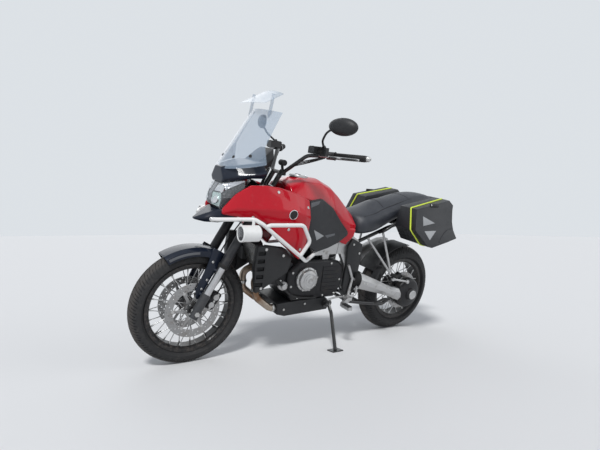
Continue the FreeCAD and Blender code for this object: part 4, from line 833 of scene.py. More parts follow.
def seat_shape():
    """A crowned pad with a sewn edge, from a grid that is moved on to its sections."""
    around = 14
    clear()
    bpy.ops.mesh.primitive_grid_add(x_subdivisions=len(SEAT_ROWS) - 1, y_subdivisions=around, size=2)
    piece = added("seat_pad")
    for vertex in piece.data.vertices:
        row = SEAT_ROWS[round((vertex.co.x + 1) / 2 * (len(SEAT_ROWS) - 1))]
        x, low, high, low_half, mid_half, mid, top_half, crown = row
        corners = [(low_half, low), (mid_half, mid), (top_half, high), (top_half * 0.62, high + crown * 0.62),
                   (top_half * 0.3, high + crown * 0.92), (0, high + crown)]
        corners += [(-across, up) for across, up in reversed(corners[:-1])]
        corners += [(-low_half * 0.5, low), (0, low), (low_half * 0.5, low)]
        across, up = corners[round((vertex.co.y + 1) / 2 * around) % around]
        vertex.co = mm(x, across, up)
    edit(piece)
    bpy.ops.mesh.remove_doubles(threshold=0.0001)
    clear()
    edit(piece, "edges", lambda edge: False)
    bpy.ops.mesh.select_non_manifold()
    bpy.ops.mesh.fill_holes(sides=0)
    bpy.ops.mesh.select_all(action="SELECT")
    bpy.ops.mesh.normals_make_consistent(inside=False)
    clear()
    return piece


# Operators
class MotorcycleSettings(bpy.types.PropertyGroup):
    """Sizes that a user may change."""

    flow_passes: bpy.props.IntProperty(
        name="Bodywork smoothing", description="Smoothing passes on painted panels", default=14, min=1)
    panel_edge: bpy.props.FloatProperty(
        name="Panel edge", description="Radius on the edges of painted panels", default=0.003, unit="LENGTH")
    casting_edge: bpy.props.FloatProperty(
        name="Casting edge", description="Radius on the edges of cast and moulded pieces", default=0.0018,
        unit="LENGTH")
    front_pitches: bpy.props.IntProperty(
        name="Front tread pitches", description="Repeats of the tread round the front tyre", default=54)
    rear_pitches: bpy.props.IntProperty(
        name="Rear tread pitches", description="Repeats of the tread round the rear tyre", default=48)


class MOTORCYCLE_OT_finishes(bpy.types.Operator):
    """Give every node of the frame its finish"""

    bl_idname = "motorcycle.finishes"
    bl_label = "Finishes"

    def execute(self, context):
        make_finishes()
        for node, finish in NODE_FINISHES.items():
            NODES[node].data.materials.clear()
            NODES[node].data.materials.append(FINISHES[finish])
        return {"FINISHED"}


# Tyre, axle, radius, width, rim radius and rim width in metres, and slant of the tread in pitches
TYRES = (
    ("front_tyre", FRONT_AXLE, 0.329, 0.110, 0.243, 0.080, 0.9),
    ("rear_tyre", REAR_AXLE, 0.321, 0.150, 0.219, 0.118, 1.1),
)


class MOTORCYCLE_OT_tyres(bpy.types.Operator):
    """Model both tyres with their treads"""

    bl_idname = "motorcycle.tyres"
    bl_label = "Tyres"

    def execute(self, context):
        settings = context.scene.motorcycle
        pitches = (settings.front_pitches, settings.rear_pitches)
        for (node, axle, *sizes, slant), count in zip(TYRES, pitches):
            tyre = treaded_tyre(f"{node}_tread", axle, *sizes, count, slant)
            dress(tyre, BODY_OF[node], NODE_FINISHES[node])
            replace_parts(tyre, node)
        return {"FINISHED"}


# Nodes whose facets run into each other, and nodes whose edges are rounded
FLOWING_SKINS = ("fuel_tank", "side_fairing_left", "side_fairing_right", "front_cowl", "beak", "tail_unit")
PANEL_SKINS = ("knee_pads", "headlamp", "dashboard", "front_mudguard", "rear_hugger", "silencer",
               "pannier_left", "pannier_right", "pannier_lid_left", "pannier_lid_right", "belly_pan")
CASTING_SKINS = ("frame_spar_left", "frame_spar_right", "crankcase", "alternator_cover", "clutch_cover",
                 "front_cylinders", "rear_cylinders", "swingarm", "final_drive", "pivot_covers", "radiators",
                 "front_calipers", "rear_caliper", "plate_holder", "tail_lamp", "rear_carrier")


class MOTORCYCLE_OT_skins(bpy.types.Operator):
    """Round the edges of panels and castings"""

    bl_idname = "motorcycle.skins"
    bl_label = "Rounded panels and castings"

    def execute(self, context):
        settings = context.scene.motorcycle
        for node in FLOWING_SKINS:
            flowing_skin(node, settings.flow_passes)
        for node in PANEL_SKINS:
            skin(node, settings.panel_edge)
        for node in CASTING_SKINS:
            skin(node, settings.casting_edge)
        return {"FINISHED"}


class MOTORCYCLE_OT_seat(bpy.types.Operator):
    """Model the two-level seat"""

    bl_idname = "motorcycle.seat"
    bl_label = "Seat"

    def execute(self, context):
        seat = seat_shape()
        apply_modifier(seat, "SUBSURF", levels=3, render_levels=3)
        smooth(seat, 60)
        surface = tree_of(seat.data)
        welts = []
        for side, _ in SIDES:
            edge = [surface.find_nearest(mm(row[0], side * row[6], row[2]))[0] for row in SEAT_ROWS[1:]]
            welts.append(hose("welt", edge, 2))
        for x in (-468, -700):
            across = [surface.ray_cast(mm(x, y, 1400), -ALONG_Z)[0] for y in range(-100, 101, 20)]
            welts.append(hose("welt", across, 1.8))
        fit("seat_welts", welts, "seat", "rubber")
        dress(seat, "chassis", "seat")
        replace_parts(seat, "seat")
        return {"FINISHED"}


# Shapes turned about an axis, as (along, radius) in millimetres
DUST_SEAL = ((0, 22), (0, 26), (4, 28), (12, 28.5), (14, 30), (20, 30), (22, 27.5), (22, 22), (0, 22))
PIPE_CLAMP = ((0, 21), (0, 24), (5, 24), (7, 26), (11, 26), (13, 24), (18, 24), (18, 21), (0, 21))
NIPPLE = ((0, 0), (0, 3.2), (4, 4.6), (14, 4.6), (16, 3.2), (16, 0))
MIRROR_SHELL = ((-10, 0), (-10, 41), (-14, 43), (-15, 45), (-10, 46), (4, 43), (14, 35), (20, 24), (23, 11),
                (24, 0))
MIRROR_GLASS = ((-11.5, 0), (-11.5, 40.5), (-9, 41), (-9, 0))
LAMP_BEZEL = ((-6, 43.1), (-6, 44.4), (1, 44.4), (4, 42), (4, 37), (0, 35.5), (-6, 43.1))
LAMP_GLASS = ((0, 0), (0, 36.5), (2, 36), (4.5, 28), (6, 14), (6.5, 0))
PROJECTOR = ((-6, 0), (-6, 25), (2, 25), (4, 23.5), (4, 21.5), (1, 19.5), (3, 14), (5, 7), (5.6, 0))
FUEL_CAP = ((-6, 0), (-6, 58), (2, 58), (4, 56), (4, 46), (7, 44), (8, 30), (8.5, 0))
OUTLET = ((-30, 24), (-30, 30), (10, 30), (12, 29), (12, 27), (10, 26), (-26, 26), (-26, 24), (-30, 24))


class MOTORCYCLE_OT_front_end(bpy.types.Operator):
    """Fit the fork's seals and caps, the brakes' bolts and hoses and the mudguard's trim"""

    bl_idname = "motorcycle.front_end"
    bl_label = "Fork, brake and mudguard fittings"

    def execute(self, context):
        seals, caps, screws, hoses, pistons = [], [], [], [], []
        for side, _ in SIDES:
            across = side * LEG_ACROSS
            outward = ALONG_Y * side
            seals.append(turned("seal", DUST_SEAL, steer(620, LEG_FORWARD, across), STEER_UP))
            caps.append(turned("cap", fronted(19, 7), steer(1143, LEG_FORWARD, across), STEER_UP, 6))
            caps.append(turned("axle_nut", fronted(15, 6), FRONT_AXLE + mm(0, side * 129, 0), outward, 6))
            screws += [(steer(up, LEG_FORWARD + 25, across), STEER_FORWARD) for up in (324, 350)]
            screws += [(steer(up, LEG_FORWARD + 31, side * 82), STEER_FORWARD) for up in (973, 991, 1125)]
            caliper = FRONT_AXLE + STEER_UP * 0.096 - STEER_FORWARD * 0.066 + mm(0, side * 96.4, 0)
            along = Vector((-0.53, 0, 0.848))
            for reach in (-0.024, 0.024):
                pistons.append(turned("piston", fronted(17, 3), caliper + along * reach, outward))
            screws += [(caliper + along * reach, outward) for reach in (-0.043, 0, 0.043)]
            hoses.append(hose("brake_hose", [
                caliper + along * 0.04 - outward * 0.02, caliper + along * 0.09 - outward * 0.012,
                steer(620, LEG_FORWARD - 42, side * 86), steer(800, LEG_FORWARD - 40, side * 78),
                steer(930, LEG_FORWARD - 44, side * 50), steer(960, 24, side * 20)], 4))
        fit("fork_dust_seals", seals, "fork", "rubber")
        fit("fork_caps_and_axle_nuts", caps, "fork", "bolt")
        fit("caliper_piston_caps", pistons, "front_calipers", "silver")
        fit("front_end_screws", [bolts("screws", screws, 5.5, 4.5)], "fork", "bolt")
        fit("front_brake_hoses", hoses, "fork", "rubber")
        trims, cover_screws = [], []
        for side, _ in SIDES:
            turns = [math.radians(angle) for angle in range(62, 93, 3)]
            edge = [(radius, turn) for radius, order in ((331, turns), (317, turns[::-1])) for turn in order]
            corners = [round_axle(FRONT_AXLE, radius, turn, side * 71.6) for radius, turn in edge]
            trims.append(plate("trim", corners, mm(0, side * 1.6, 0), 0.5))
            cover_screws += [beside("front_mudguard", x, z, side)
                             for x, z in ((713, 606), (738, 505), (766, 456))]
        fit("mudguard_side_trims", trims, "front_mudguard", "mid_panel")
        fit("mudguard_screws", [bolts("screws", cover_screws, 6, 3)], "front_mudguard", "bolt")
        return {"FINISHED"}


def drilled(node, axle, rings):
    """A disc with its holes bored; each ring is a count, a radius, a hole's radius and a turn in degrees."""
    places = []
    for count, radius, bore, start in rings:
        size = Matrix.Diagonal((bore / 1000, bore / 1000, 0.4, 1))
        for number in range(count):
            turn = Matrix.Rotation(math.radians(start + 360 / count * number), 4, "Y")
            places.append(Matrix.Translation(axle) @ turn @ Matrix.Translation(mm(radius, 0, 0))
                          @ Matrix.Rotation(math.pi / 2, 4, "X") @ size)
    clear()
    bpy.ops.mesh.primitive_cylinder_add(vertices=10, radius=1, depth=1)
    drill = repeated("drill", added("drill"), places)
    drill.matrix_world = PLACE @ drill.matrix_world
    disc = merged(node, node + "_drilled")
    apply_modifier(disc, "BOOLEAN", object=drill, operation="DIFFERENCE", solver="EXACT")
    bpy.data.objects.remove(drill)
    smooth(disc, 30)
    dress(disc, BODY_OF[node], NODE_FINISHES[node], upright=False)
    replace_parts(disc, node)


# Wheel, axle, rim radius and width, hub radius and width, disc face and button circle, all in millimetres,
# and the sides that have a disc
WHEELS = (
    ("front_wheel", FRONT_AXLE, 243, 80, 44, 96, 66, 113, SIDES),
    ("rear_wheel", REAR_AXLE, 219, 118, 72, 112, 87, 96, SIDES[:1]),
)
SPOKE_GROUPS = 9


class MOTORCYCLE_OT_wheels(bpy.types.Operator):
    """Bore the brake discs and fit spoke nipples, valves and disc buttons"""

    bl_idname = "motorcycle.wheels"
    bl_label = "Discs, nipples and valves"

    def execute(self, context):
        drilled("front_discs", FRONT_AXLE, ((18, 147, 3.6, 0), (18, 134, 3.6, 7), (18, 121, 3.6, 14)))
        drilled("rear_disc", REAR_AXLE, ((16, 130, 3.6, 0), (16, 117, 3.6, 8), (16, 104, 3.6, 16)))
        for wheel, axle, rim_radius, rim_width, hub_radius, hub_width, face, circle, sides in WHEELS:
            ends = []
            for side, _ in SIDES:
                for lean in (1, -1):
                    for group in range(SPOKE_GROUPS):
                        turn = 90 / SPOKE_GROUPS * side + 360 / SPOKE_GROUPS * group
                        at_rim = math.radians(turn + lean * 70 / SPOKE_GROUPS)
                        at_hub = math.radians(turn + lean * 50)
                        start = round_axle(axle, hub_radius - 5, at_hub, side * (hub_width / 2 - 4.5))
                        end = round_axle(axle, rim_radius - 12, at_rim, side * (rim_width / 2 - 18))
                        along = (end - start).normalized()
                        ends.append(aim(end - along * 0.021, along))
            nipple = turned("nipple", NIPPLE, Vector(), ALONG_Z, 8)
            fit(f"{wheel}_nipples", [repeated("nipples", nipple, ends)], wheel, "bolt")
            inward = Vector((math.cos(0.7), 0, -math.sin(0.7)))
            stem = axle + inward * (rim_radius - 16) / 1000
            valve = rod("valve", stem, stem - inward * 0.034 + mm(0, 10, 0), 3.2)
            fit(f"{wheel}_valve", [valve], wheel, "rubber")
            buttons = []
            for side, _ in sides:
                for number in range(6):
                    turn = math.tau * number / 6
                    for radius, profile, steps in ((circle, fronted(8.5, 0.9), 20), (36, fronted(5, 3), 12)):
                        place = round_axle(axle, radius, turn, side * face)
                        buttons.append(turned("button", profile, place, ALONG_Y * side, steps))
            fit(f"{wheel}_disc_buttons", buttons, wheel, "bolt")
        return {"FINISHED"}


class MOTORCYCLE_OT_nose(bpy.types.Operator):
    """Fit the headlamp's inside, the screen's screws and the instrument panel"""

    bl_idname = "motorcycle.nose"
    bl_label = "Headlamp, screen and instruments"

    def execute(self, context):
        inside = merged("headlamp", "headlamp_inside")
        edit(inside)
        bpy.ops.transform.shrink_fatten(value=-0.005)
        clear()
        smooth(inside, 20)
        dress(inside, "chassis", "lamp_inside", upright=False)
        beams = []
        for side, _ in SIDES:
            for y, z in ((66, 1006), (50, 948)):
                place, _ = ahead("headlamp", side * y, z)
                beams.append(turned("beam", PROJECTOR, place - mm(8, 0, 0), Vector((0.92, 0.28 * side, 0.2))))
        fit("headlamp_beams", beams, "headlamp", "chrome")
        spots = [ahead("windscreen", y, z) for y, z in ((-150, 1196), (-70, 1180), (70, 1180), (150, 1196))]
        fit("screen_screws", [bolts("screws", spots, 7, 3)], "windscreen", "rubber")
        back = 413.6
        corners = [mm(back, y, z) for y, z in ((-70, 1160), (70, 1160), (66, 1240), (-66, 1240))]
        fit("instrument_bezel", [plate("bezel", corners, mm(-4, 0, 0), 2)], "dashboard", "rubber")
        corners = [mm(back - 3, y, z) for y, z in ((-60, 1169), (60, 1169), (57, 1231), (-57, 1231))]
        fit("instrument_glass", [plate("glass", corners, mm(-2, 0, 0), 0.6)], "dashboard", "display")
        marks = [block("mark", (1, 6, 3 + number), mm(back - 5.2, 46 - number * 9, 1215 + number / 2), 0.2)
                 for number in range(11)]
        clear()
        bpy.ops.object.text_add()
        digits = added("speed_digit")
        digits.data.body = "0"
        digits.data.size = 0.04
        digits.data.extrude = 0.0003
        activate(digits)
        bpy.ops.object.convert(target="MESH")
        digits = added("speed_digit")
        towards_rider = Matrix(((0, 0, -1, 0), (-1, 0, 0, 0), (0, 1, 0, 0), (0, 0, 0, 1)))
        digits.matrix_world = Matrix.Translation(mm(back - 5.2, 10, 1176)) @ towards_rider
        fit("instrument_marks", [*marks, digits], "dashboard", "pale_panel")
        return {"FINISHED"}


GRIP_INNER = mm(150, 296, 1247)
GRIP_OUTER = mm(46, 432, 1254)
MIRROR_CENTRE = mm(232, 430, 1402)
# Turn towards the rider, in degrees, and half width over half height
MIRROR_TURN = 18
MIRROR_STRETCH = 88 / 46


def sided(point, side):
    return Vector((point.x, point.y * side, point.z))


class MOTORCYCLE_OT_controls(bpy.types.Operator):
    """Model the grips, levers, cables and mirrors"""

    bl_idname = "motorcycle.controls"
    bl_label = "Grips, levers, cables and mirrors"

    def execute(self, context):
        grips, ends, levers, cables, caps, shells, glasses, screws = [], [], [], [], [], [], [], []
        ribs = [(6, 0), (6, 17.5)]
        for number in range(26):
            low = 8 + number * 6.2
            ribs += [(low, 17.3), (low + 0.8, 18.5), (low + 3.6, 18.5), (low + 4.4, 17.3)]
        ribs += [(171, 17.5), (171, 0)]
        for side, _ in SIDES:
            inner, outer = sided(GRIP_INNER, side), sided(GRIP_OUTER, side)
            along = (outer - inner).normalized()
            grips.append(turned("grip", ribs, inner, along, 24))
            grips.append(turned("flange", fronted(24, 4), inner + along * 0.001, along))
            ends.append(turned("bar_end", fronted(15, 22), outer + along * 0.005, along))
            levers.append(hose("lever", [
                inner - along * 0.06 + mm(34, 0, -4), inner - along * 0.02 + mm(56, side * 8, -6),
                inner + along * 0.03 + mm(66, side * 20, -8), outer - along * 0.06 + mm(60, side * 22, -9),
                outer - along * 0.008 + mm(57, side * 26, -10)], 7))
            for number, drop in enumerate((0, 10, 20)):
                cables.append(hose("cable", [
                    inner - along * 0.055 + mm(-2, 0, -8 - drop / 3),
                    mm(236, side * (196 - drop), 1210 - drop), mm(312, side * (120 - drop), 1176 - drop),
                    steer(1165, 30, side * (62 - drop)), steer(1060, 34, side * (58 - number * 7))], 3.2))
            reservoir = mm(232.3, side * 234, 1283.6)
            caps.append(block("cap", (72, 48, 5), reservoir + mm(0, 0, 2), 2))
            screws += [(reservoir + mm(x, 0, 4.4), ALONG_Z) for x in (-28, 28)]
            centre = sided(MIRROR_CENTRE, side)
            turn = Matrix.Translation(centre) @ Matrix.Rotation(math.radians(MIRROR_TURN * side), 4, "Z")
            wide = Matrix.Diagonal((1, MIRROR_STRETCH, 1, 1)) @ aim(Vector(), ALONG_X)
            for shapes, profile in ((shells, MIRROR_SHELL), (glasses, MIRROR_GLASS)):
                head = turned("mirror", profile, Vector(), ALONG_X, 48)
                head.matrix_world = turn @ wide
                shapes.append(head)
            base = mm(206, side * 262, 1284)
            shells.append(hose("stem", [
                base, base + mm(34, side * 24, 30), base + mm(46, side * 44, 46),
                centre + mm(30, side * -84, -32), centre + mm(20, side * -30, -10), centre + mm(8, 0, 0)], 6))
            shells.append(turned("nut", fronted(12, 16), base - mm(0, 0, 3), ALONG_Z, 6))
        fit("handlebar_grips", grips, "handlebar", "rubber")
        fit("handlebar_end_weights", ends, "handlebar", "bolt")
        fit("brake_and_clutch_levers", levers, "handlebar", "silver")
        fit("handlebar_cables", cables, "handlebar", "rubber")
        fit("reservoir_caps", caps, "handlebar", "dark")
        fit("reservoir_screws", [bolts("screws", screws, 4, 2)], "handlebar", "bolt")
        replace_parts(fit("mirror_shells_and_stems", shells, "mirrors", "dark", 40), "mirrors")
        fit("mirror_glasses", glasses, "mirrors", "mirror")
        mount = steer(1256, 14, 62)
        parts = [rod("post", mount, mount + mm(10, 0, 46), 8),
                 rod("drum", mount + mm(10, -20, 58), mount + mm(10, 28, 58), 17, 3),
                 block("clamp", (34, 22, 34), mount + mm(0, 0, 2), 4)]
        fit("phone_mount", parts, "handlebar", "rubber")
        return {"FINISHED"}


# Places as (x, z) in millimetres: the fairing's screws, the corners of the knee pad's insets, and of a pale strip
# that paints a highlight on its edge
FAIRING_SCREWS = ((560, 880), (350, 820), (250, 700), (215, 940), (420, 1020))
PALE_INSET = ((143, 806), (60, 768), (112, 742))
# Painted highlight: corners of a pale strip on the knee pad's edge, standing for light caught on that edge
EDGE_HIGHLIGHT_STRIP = ((52, 770), (-24, 782), (-26, 770), (32, 754))
TOP_INSET = ((186, 966), (120, 978), (128, 958), (184, 938))
BADGE_RIM = ((-4, 0), (-4, 28), (2, 28), (3.4, 26.5), (3.4, 24.5), (1.5, 23.5), (1.5, 0))
BADGE_FACE = ((-2, 0), (-2, 23.6), (2.2, 23.4), (3.2, 14), (3.4, 0))


class MOTORCYCLE_OT_bodywork(bpy.types.Operator):
    """Fit the fairings' screws, the plain badges, the knee pads' insets, a pale strip painting a highlight on each
    knee pad's edge, and the fuel cap
    """

    bl_idname = "motorcycle.bodywork"
    bl_label = "Bodywork trim"

    def execute(self, context):
        screws, rims, faces, pale, middle, tops = [], [], [], [], [], []
        for side, name in SIDES:
            fairing = f"side_fairing_{name}"
            screws += [beside(fairing, x, z, side) for x, z in FAIRING_SCREWS]
            place, outward = beside(fairing, 334, 905, side)
            rims.append(turned("rim", BADGE_RIM, place, outward))
            faces.append(turned("face", BADGE_FACE, place, outward))
            pale.append(patch("inset", "knee_pads", PALE_INSET, side))
            # Painted highlight: a pale grey strip on the knee pad's edge stands for light caught on that edge.
            middle.append(patch("inset", "knee_pads", EDGE_HIGHLIGHT_STRIP, side))
            tops.append(patch("inset", "knee_pads", TOP_INSET, side, 1.6))
        fit("fairing_screws", [bolts("screws", screws, 7, 2.5)], "fuel_tank", "bolt")
        fit("plain_badge_rims", rims, "fuel_tank", "chrome")
        fit("plain_badge_faces", faces, "fuel_tank", "rubber")
        fit("knee_pad_pale_insets", pale, "knee_pads", "pale_panel")
        fit("knee_pad_grey_insets", middle, "knee_pads", "mid_panel")
        fit("knee_pad_top_insets", tops, "knee_pads", "mid_panel")
        place, outward = above("fuel_tank", 176, 0)
        cap = turned("cap", FUEL_CAP, place, outward, 48)
        fit("fuel_cap", [cap], "fuel_tank", "silver")
        ring = aim(place, outward)
        turns = [math.tau * number / 7 for number in range(7)]
        spots = [(ring @ mm(50 * math.cos(turn), 50 * math.sin(turn), 4), outward) for turn in turns]
        fit("fuel_cap_screws", [bolts("screws", spots, 3.5, 2)], "fuel_tank", "bolt")
        flap = ring @ Matrix.Translation(mm(8, 0, 9))
        fit("fuel_cap_flap", [block("flap", (34, 18, 4), Vector(), 1.5, flap)], "fuel_tank", "dark")
        return {"FINISHED"}


# Screws on each side, by node, as (x, z) in millimetres
ENGINE_SCREWS = (
    ("crankcase", ((226, 446), (222, 532), (-140, 470), (-110, 380), (-20, 372), (170, 372), (-60, 580))),
    ("front_cylinders", ((350, 500), (352, 560), (312, 610), (290, 480))),
    ("belly_pan", ((250, 300), (100, 322), (-60, 300))),
    ("frame_spar_{}", ((-112, 716), (-268, 560), (0, 652), (70, 690))),
    ("pivot_covers", ((-214, 700), (-270, 640), (-236, 380))),
)
# Hoses of the left side, as their radius and (x, y, z) in millimetres
ENGINE_HOSES = (
    (13, ((412, 96, 664), (392, 112, 668), (350, 124, 660), (310, 128, 630), (292, 122, 596),
          (288, 110, 570))),
    (11, ((404, 96, 566), (384, 124, 540), (340, 134, 500), (300, 134, 470), (274, 128, 450))),
    (6, ((272, 140, 436), (250, 150, 410), (200, 152, 384), (120, 150, 368), (40, 150, 366))),
)
PUMP = ((-8, 0), (-8, 28), (14, 28), (18, 25), (18, 20), (30, 18), (33, 14), (33, 0))
COVER_BOSS = ((-3, 0), (-3, 30), (2, 30), (4, 27), (4, 17), (2, 15), (2, 12), (6, 11), (6, 0))
COVER_RING = ((-4, 41), (-4, 46), (1, 46), (2, 44.5), (2, 42.5), (1, 41), (-4, 41))
COVER_CENTRE = mm(122, 188, 490)
# Seams of the frame's plates, as (x, z)
PLATE_SEAMS = (((-108, 750), (-106, 700), (-96, 640)), ((-196, 750), (-184, 640), (-182, 560)))


class MOTORCYCLE_OT_engine(bpy.types.Operator):
    """Fit the engine's bolts, ribs and hoses and the radiator's fins"""

    bl_idname = "motorcycle.engine"
    bl_label = "Engine and radiator fittings"

    def execute(self, context):
        screws = []
        for centre, reach, count, side in ((mm(122, 157, 490), 70, 9, 1), (mm(20, -157, 470), 90, 11, -1)):
            for number in range(count):
                turn = math.tau * (number + 0.3) / count
                screws.append((round_axle(centre, reach, turn), ALONG_Y * side))
        ribs, hoses, pumps, clamps, louvres, plain = [], [], [], [], [], []
        for side, name in SIDES:
            outward = ALONG_Y * side
            for node, places in ENGINE_SCREWS:
                screws += [beside(node.format(name), x, z, side) for x, z in places]
            plain += [beside("radiators", x, z, side) for x, z in ((461, 702), (470, 478), (340, 660))]
            ribs += [block("rib", (118, 7, 5), mm(-62, side * 141, 400 + number * 26), 1.5)
                     for number in range(7)]
            ribs.append(block("rib", (6, 7, 168), mm(-4, side * 141, 480), 1.5))
            hoses += [hose("hose", mirrored(side, points), radius) for radius, points in ENGINE_HOSES]
            pumps.append(turned("pump", PUMP, mm(272, side * 117, 450), outward))
            for place, direction in ((mm(318, side * 90, 305), Vector((-1, 0, -0.09))),
                                     (mm(437, side * 81, 436), Vector((-0.16, 0.16 * side, -0.97)))):
                clamps.append(turned("clamp", PIPE_CLAMP, place, direction))
            louvres += [block("louvre", (40, 6, 3), mm(486, side * 200, z + drop), 1)
                        for z in (500, 545, 590, 635, 680) for drop in (-4, 4)]
        slope = mm(470, 0, 700) - mm(412, 0, 548)
        turn = Matrix.Rotation(math.atan2(slope.x, slope.z), 4, "Y")
        fin = block("fin", (5, 180, 1.6), Vector(), 0.4)
        fins = repeated("fins", fin, [Matrix.Translation(mm(413, 0, 548) + slope * (number + 0.5) / 26) @ turn
                                      for number in range(26)])
        fit("engine_screws", [bolts("screws", screws, 6, 4)], "crankcase", "bolt")
        fit("shroud_screws", [bolts("screws", plain, 7, 2.5)], "radiators", "bolt")
        fit("crankcase_ribs", ribs, "crankcase", "engine")
        fit("coolant_and_oil_hoses", hoses, "crankcase", "rubber")
        fit("pump_housings", pumps, "front_cylinders", "silver")
        fit("header_clamps", clamps, "exhaust_headers", "bolt")
        fit("radiator_fins", [fins], "radiators", "bolt")
        fit("shroud_louvres", louvres, "radiators", "dark")
        boss = turned("boss", COVER_BOSS, COVER_CENTRE, ALONG_Y)
        ring = turned("ring", COVER_RING, COVER_CENTRE, ALONG_Y)
        fit("alternator_cover_boss", [boss, ring], "alternator_cover", "silver")
        seams = [hose("seam", [mm(x, side * 130, z) for x, z in points], 1.1)
                 for side, _ in SIDES for points in PLATE_SEAMS]
        fit("frame_plate_seams", seams, "frame_spar_left", "rubber")
        return {"FINISHED"}


# Lid corners of the pale triangles, and the crease, as (x, z)
LID_TRIANGLES = (((-602, 928), (-598, 868), (-712, 886)), ((-604, 836), (-718, 838), (-630, 784)))
LID_CREASE = ((-716, 768), (-742, 790), (-790, 822), (-840, 846), (-884, 852))
PIPING = ((-864, 1036), (-550, 970), (-525, 837), (-600, 745), (-640, 737))


class MOTORCYCLE_OT_panniers(bpy.types.Operator):
    """Fit the panniers' piping, insets, latches and hinges"""

    bl_idname = "motorcycle.panniers"
    bl_label = "Pannier trim"

    def execute(self, context):
        for side, name in SIDES:
            body, lid = f"pannier_{name}", f"pannier_lid_{name}"
            seam = [mm(x, side * (246 + (1045 - z) * 110 / 308 - 3), z) for x, z in PIPING]
            fit(f"{body}_piping", [hose("piping", seam, 5.5, 12)], body, "lime")
            insets = [patch("inset", lid, corners, side, 1.2) for corners in LID_TRIANGLES]
            fit(f"{lid}_insets", insets, lid, "pale_panel")
            crease = [beside(lid, x, z, side)[0] for x, z in LID_CREASE]
            fit(f"{lid}_crease", [hose("crease", crease, 3)], lid, "case")
            latch, outward = beside(lid, -716, 1000, side)
            across = aim(latch, outward) @ Matrix.Rotation(math.pi / 2, 4, "Z")
            latches = [block("latch", size, Vector(), 3, across) for size in ((22, 84, 10), (12, 60, 16))]
            fit(f"{lid}_latch", latches, lid, "dark")
            lock = turned("lock", fronted(6, 3), across @ mm(0, 34, 4), outward, 20)
            fit(f"{lid}_lock", [lock], lid, "bolt")
            hinges = [rod("hinge", mm(x, side * 352, z), mm(x - 46, side * 352, z + 8), 6, 1.5)
                      for x, z in ((-660, 741), (-820, 773))]
            fit(f"{body}_hinges", hinges, body, "black")
        return {"FINISHED"}


INDICATOR = ((0, 0), (0, 12), (12, 20), (40, 21), (44, 19), (44, 0))
INDICATOR_LENS = ((0, 0), (0, 18), (6, 16), (9, 9), (10, 0))
# Bars round the plate, as their size and place on its sheet in millimetres
PLATE_BARS = (
    ((8, 210, 6), (0, 0, -3)), ((8, 210, 6), (0, 0, 143)), ((8, 6, 150), (0, 103, 70)),
    ((8, 6, 150), (0, -103, 70)),
)


class MOTORCYCLE_OT_tail(bpy.types.Operator):
    """Fit the rear lamps, the plate's frame and the silencer's shield and outlet"""

    bl_idname = "motorcycle.tail"
    bl_label = "Tail and silencer fittings"

    def execute(self, context):
        stalks, lenses = [], []
        for side, _ in SIDES:
            foot = mm(-1000, side * 34, 848)
            stalks.append(rod("stalk", foot, foot + mm(-4, side * 44, 4), 7))
            stalks.append(turned("housing", INDICATOR, foot + mm(14, side * 62, 5), -ALONG_X))
            lenses.append(turned("lens", INDICATOR_LENS, foot + mm(-29, side * 62, 5), -ALONG_X))
        fit("indicator_housings", stalks, "plate_holder", "dark")
        fit("indicator_lenses", lenses, "plate_holder", "amber")
        lean = Matrix.Rotation(math.radians(-8), 4, "Y")
        sheet = Matrix.Translation(mm(-1030, 0, 690)) @ lean
        bars = [block("bar", size, Vector(), 1, sheet @ Matrix.Translation(mm(*place)))
                for size, place in PLATE_BARS]
        fit("plate_frame", bars, "plate_holder", "dark")
        spots = [(sheet @ mm(-3, y, 110), sheet.to_3x3() @ -ALONG_X) for y in (-70, 70)]
        fit("plate_screws", [bolts("screws", spots, 5, 2)], "number_plate", "bolt")
        ribs = [block("rib", (4, 100, 2), struck("tail_lamp", mm(-1300, 0, z), ALONG_X)[0], 0.5)
                for z in (944, 953, 962, 971)]
        fit("tail_lamp_ribs", ribs, "tail_lamp", "lamp_red")
        outlet = struck("silencer", mm(-1300, -246, 578), ALONG_X)[0]
        fit("silencer_outlet", [turned("outlet", OUTLET, outlet, Vector((-1, 0, 0.18)))], "silencer", "bolt")
        shield = patch("shield", "silencer", ((-560, 534), (-560, 470), (-790, 534), (-790, 600)), -1, 4, 1.2)
        fit("silencer_shield", [shield], "silencer", "dark")
        spots = [beside("silencer", x, z, -1)
                 for x, z in ((-575, 500), (-775, 562), (-600, 522), (-850, 600))]
        spots = [(place + outward * 0.004, outward) for place, outward in spots]
        fit("silencer_screws", [bolts("screws", spots, 6, 3)], "silencer", "bolt")
        return {"FINISHED"}


PEDAL = ((-176, 152, 352), (-130, 158, 356), (-70, 166, 352), (-30, 172, 346))
STRUT_EYE = ((-8, 0), (-8, 15), (-5, 17), (5, 17), (8, 15), (8, 0))
PILLION_PEG = ((-10, 0), (-10, 11), (0, 11), (2, 13), (60, 13), (63, 10), (63, 0))
HUB_CAP = ((-4, 0), (-4, 33), (1, 33), (4, 30), (4, 22), (2, 20), (2, 0))
ROD_EYE = ((-9, 0), (-9, 12), (-6, 14), (6, 14), (9, 12), (9, 0))
BRAKE_LINE = ((-690, 96, 440), (-640, 96, 452), (-560, 96, 436), (-440, 96, 440), (-330, 96, 500))


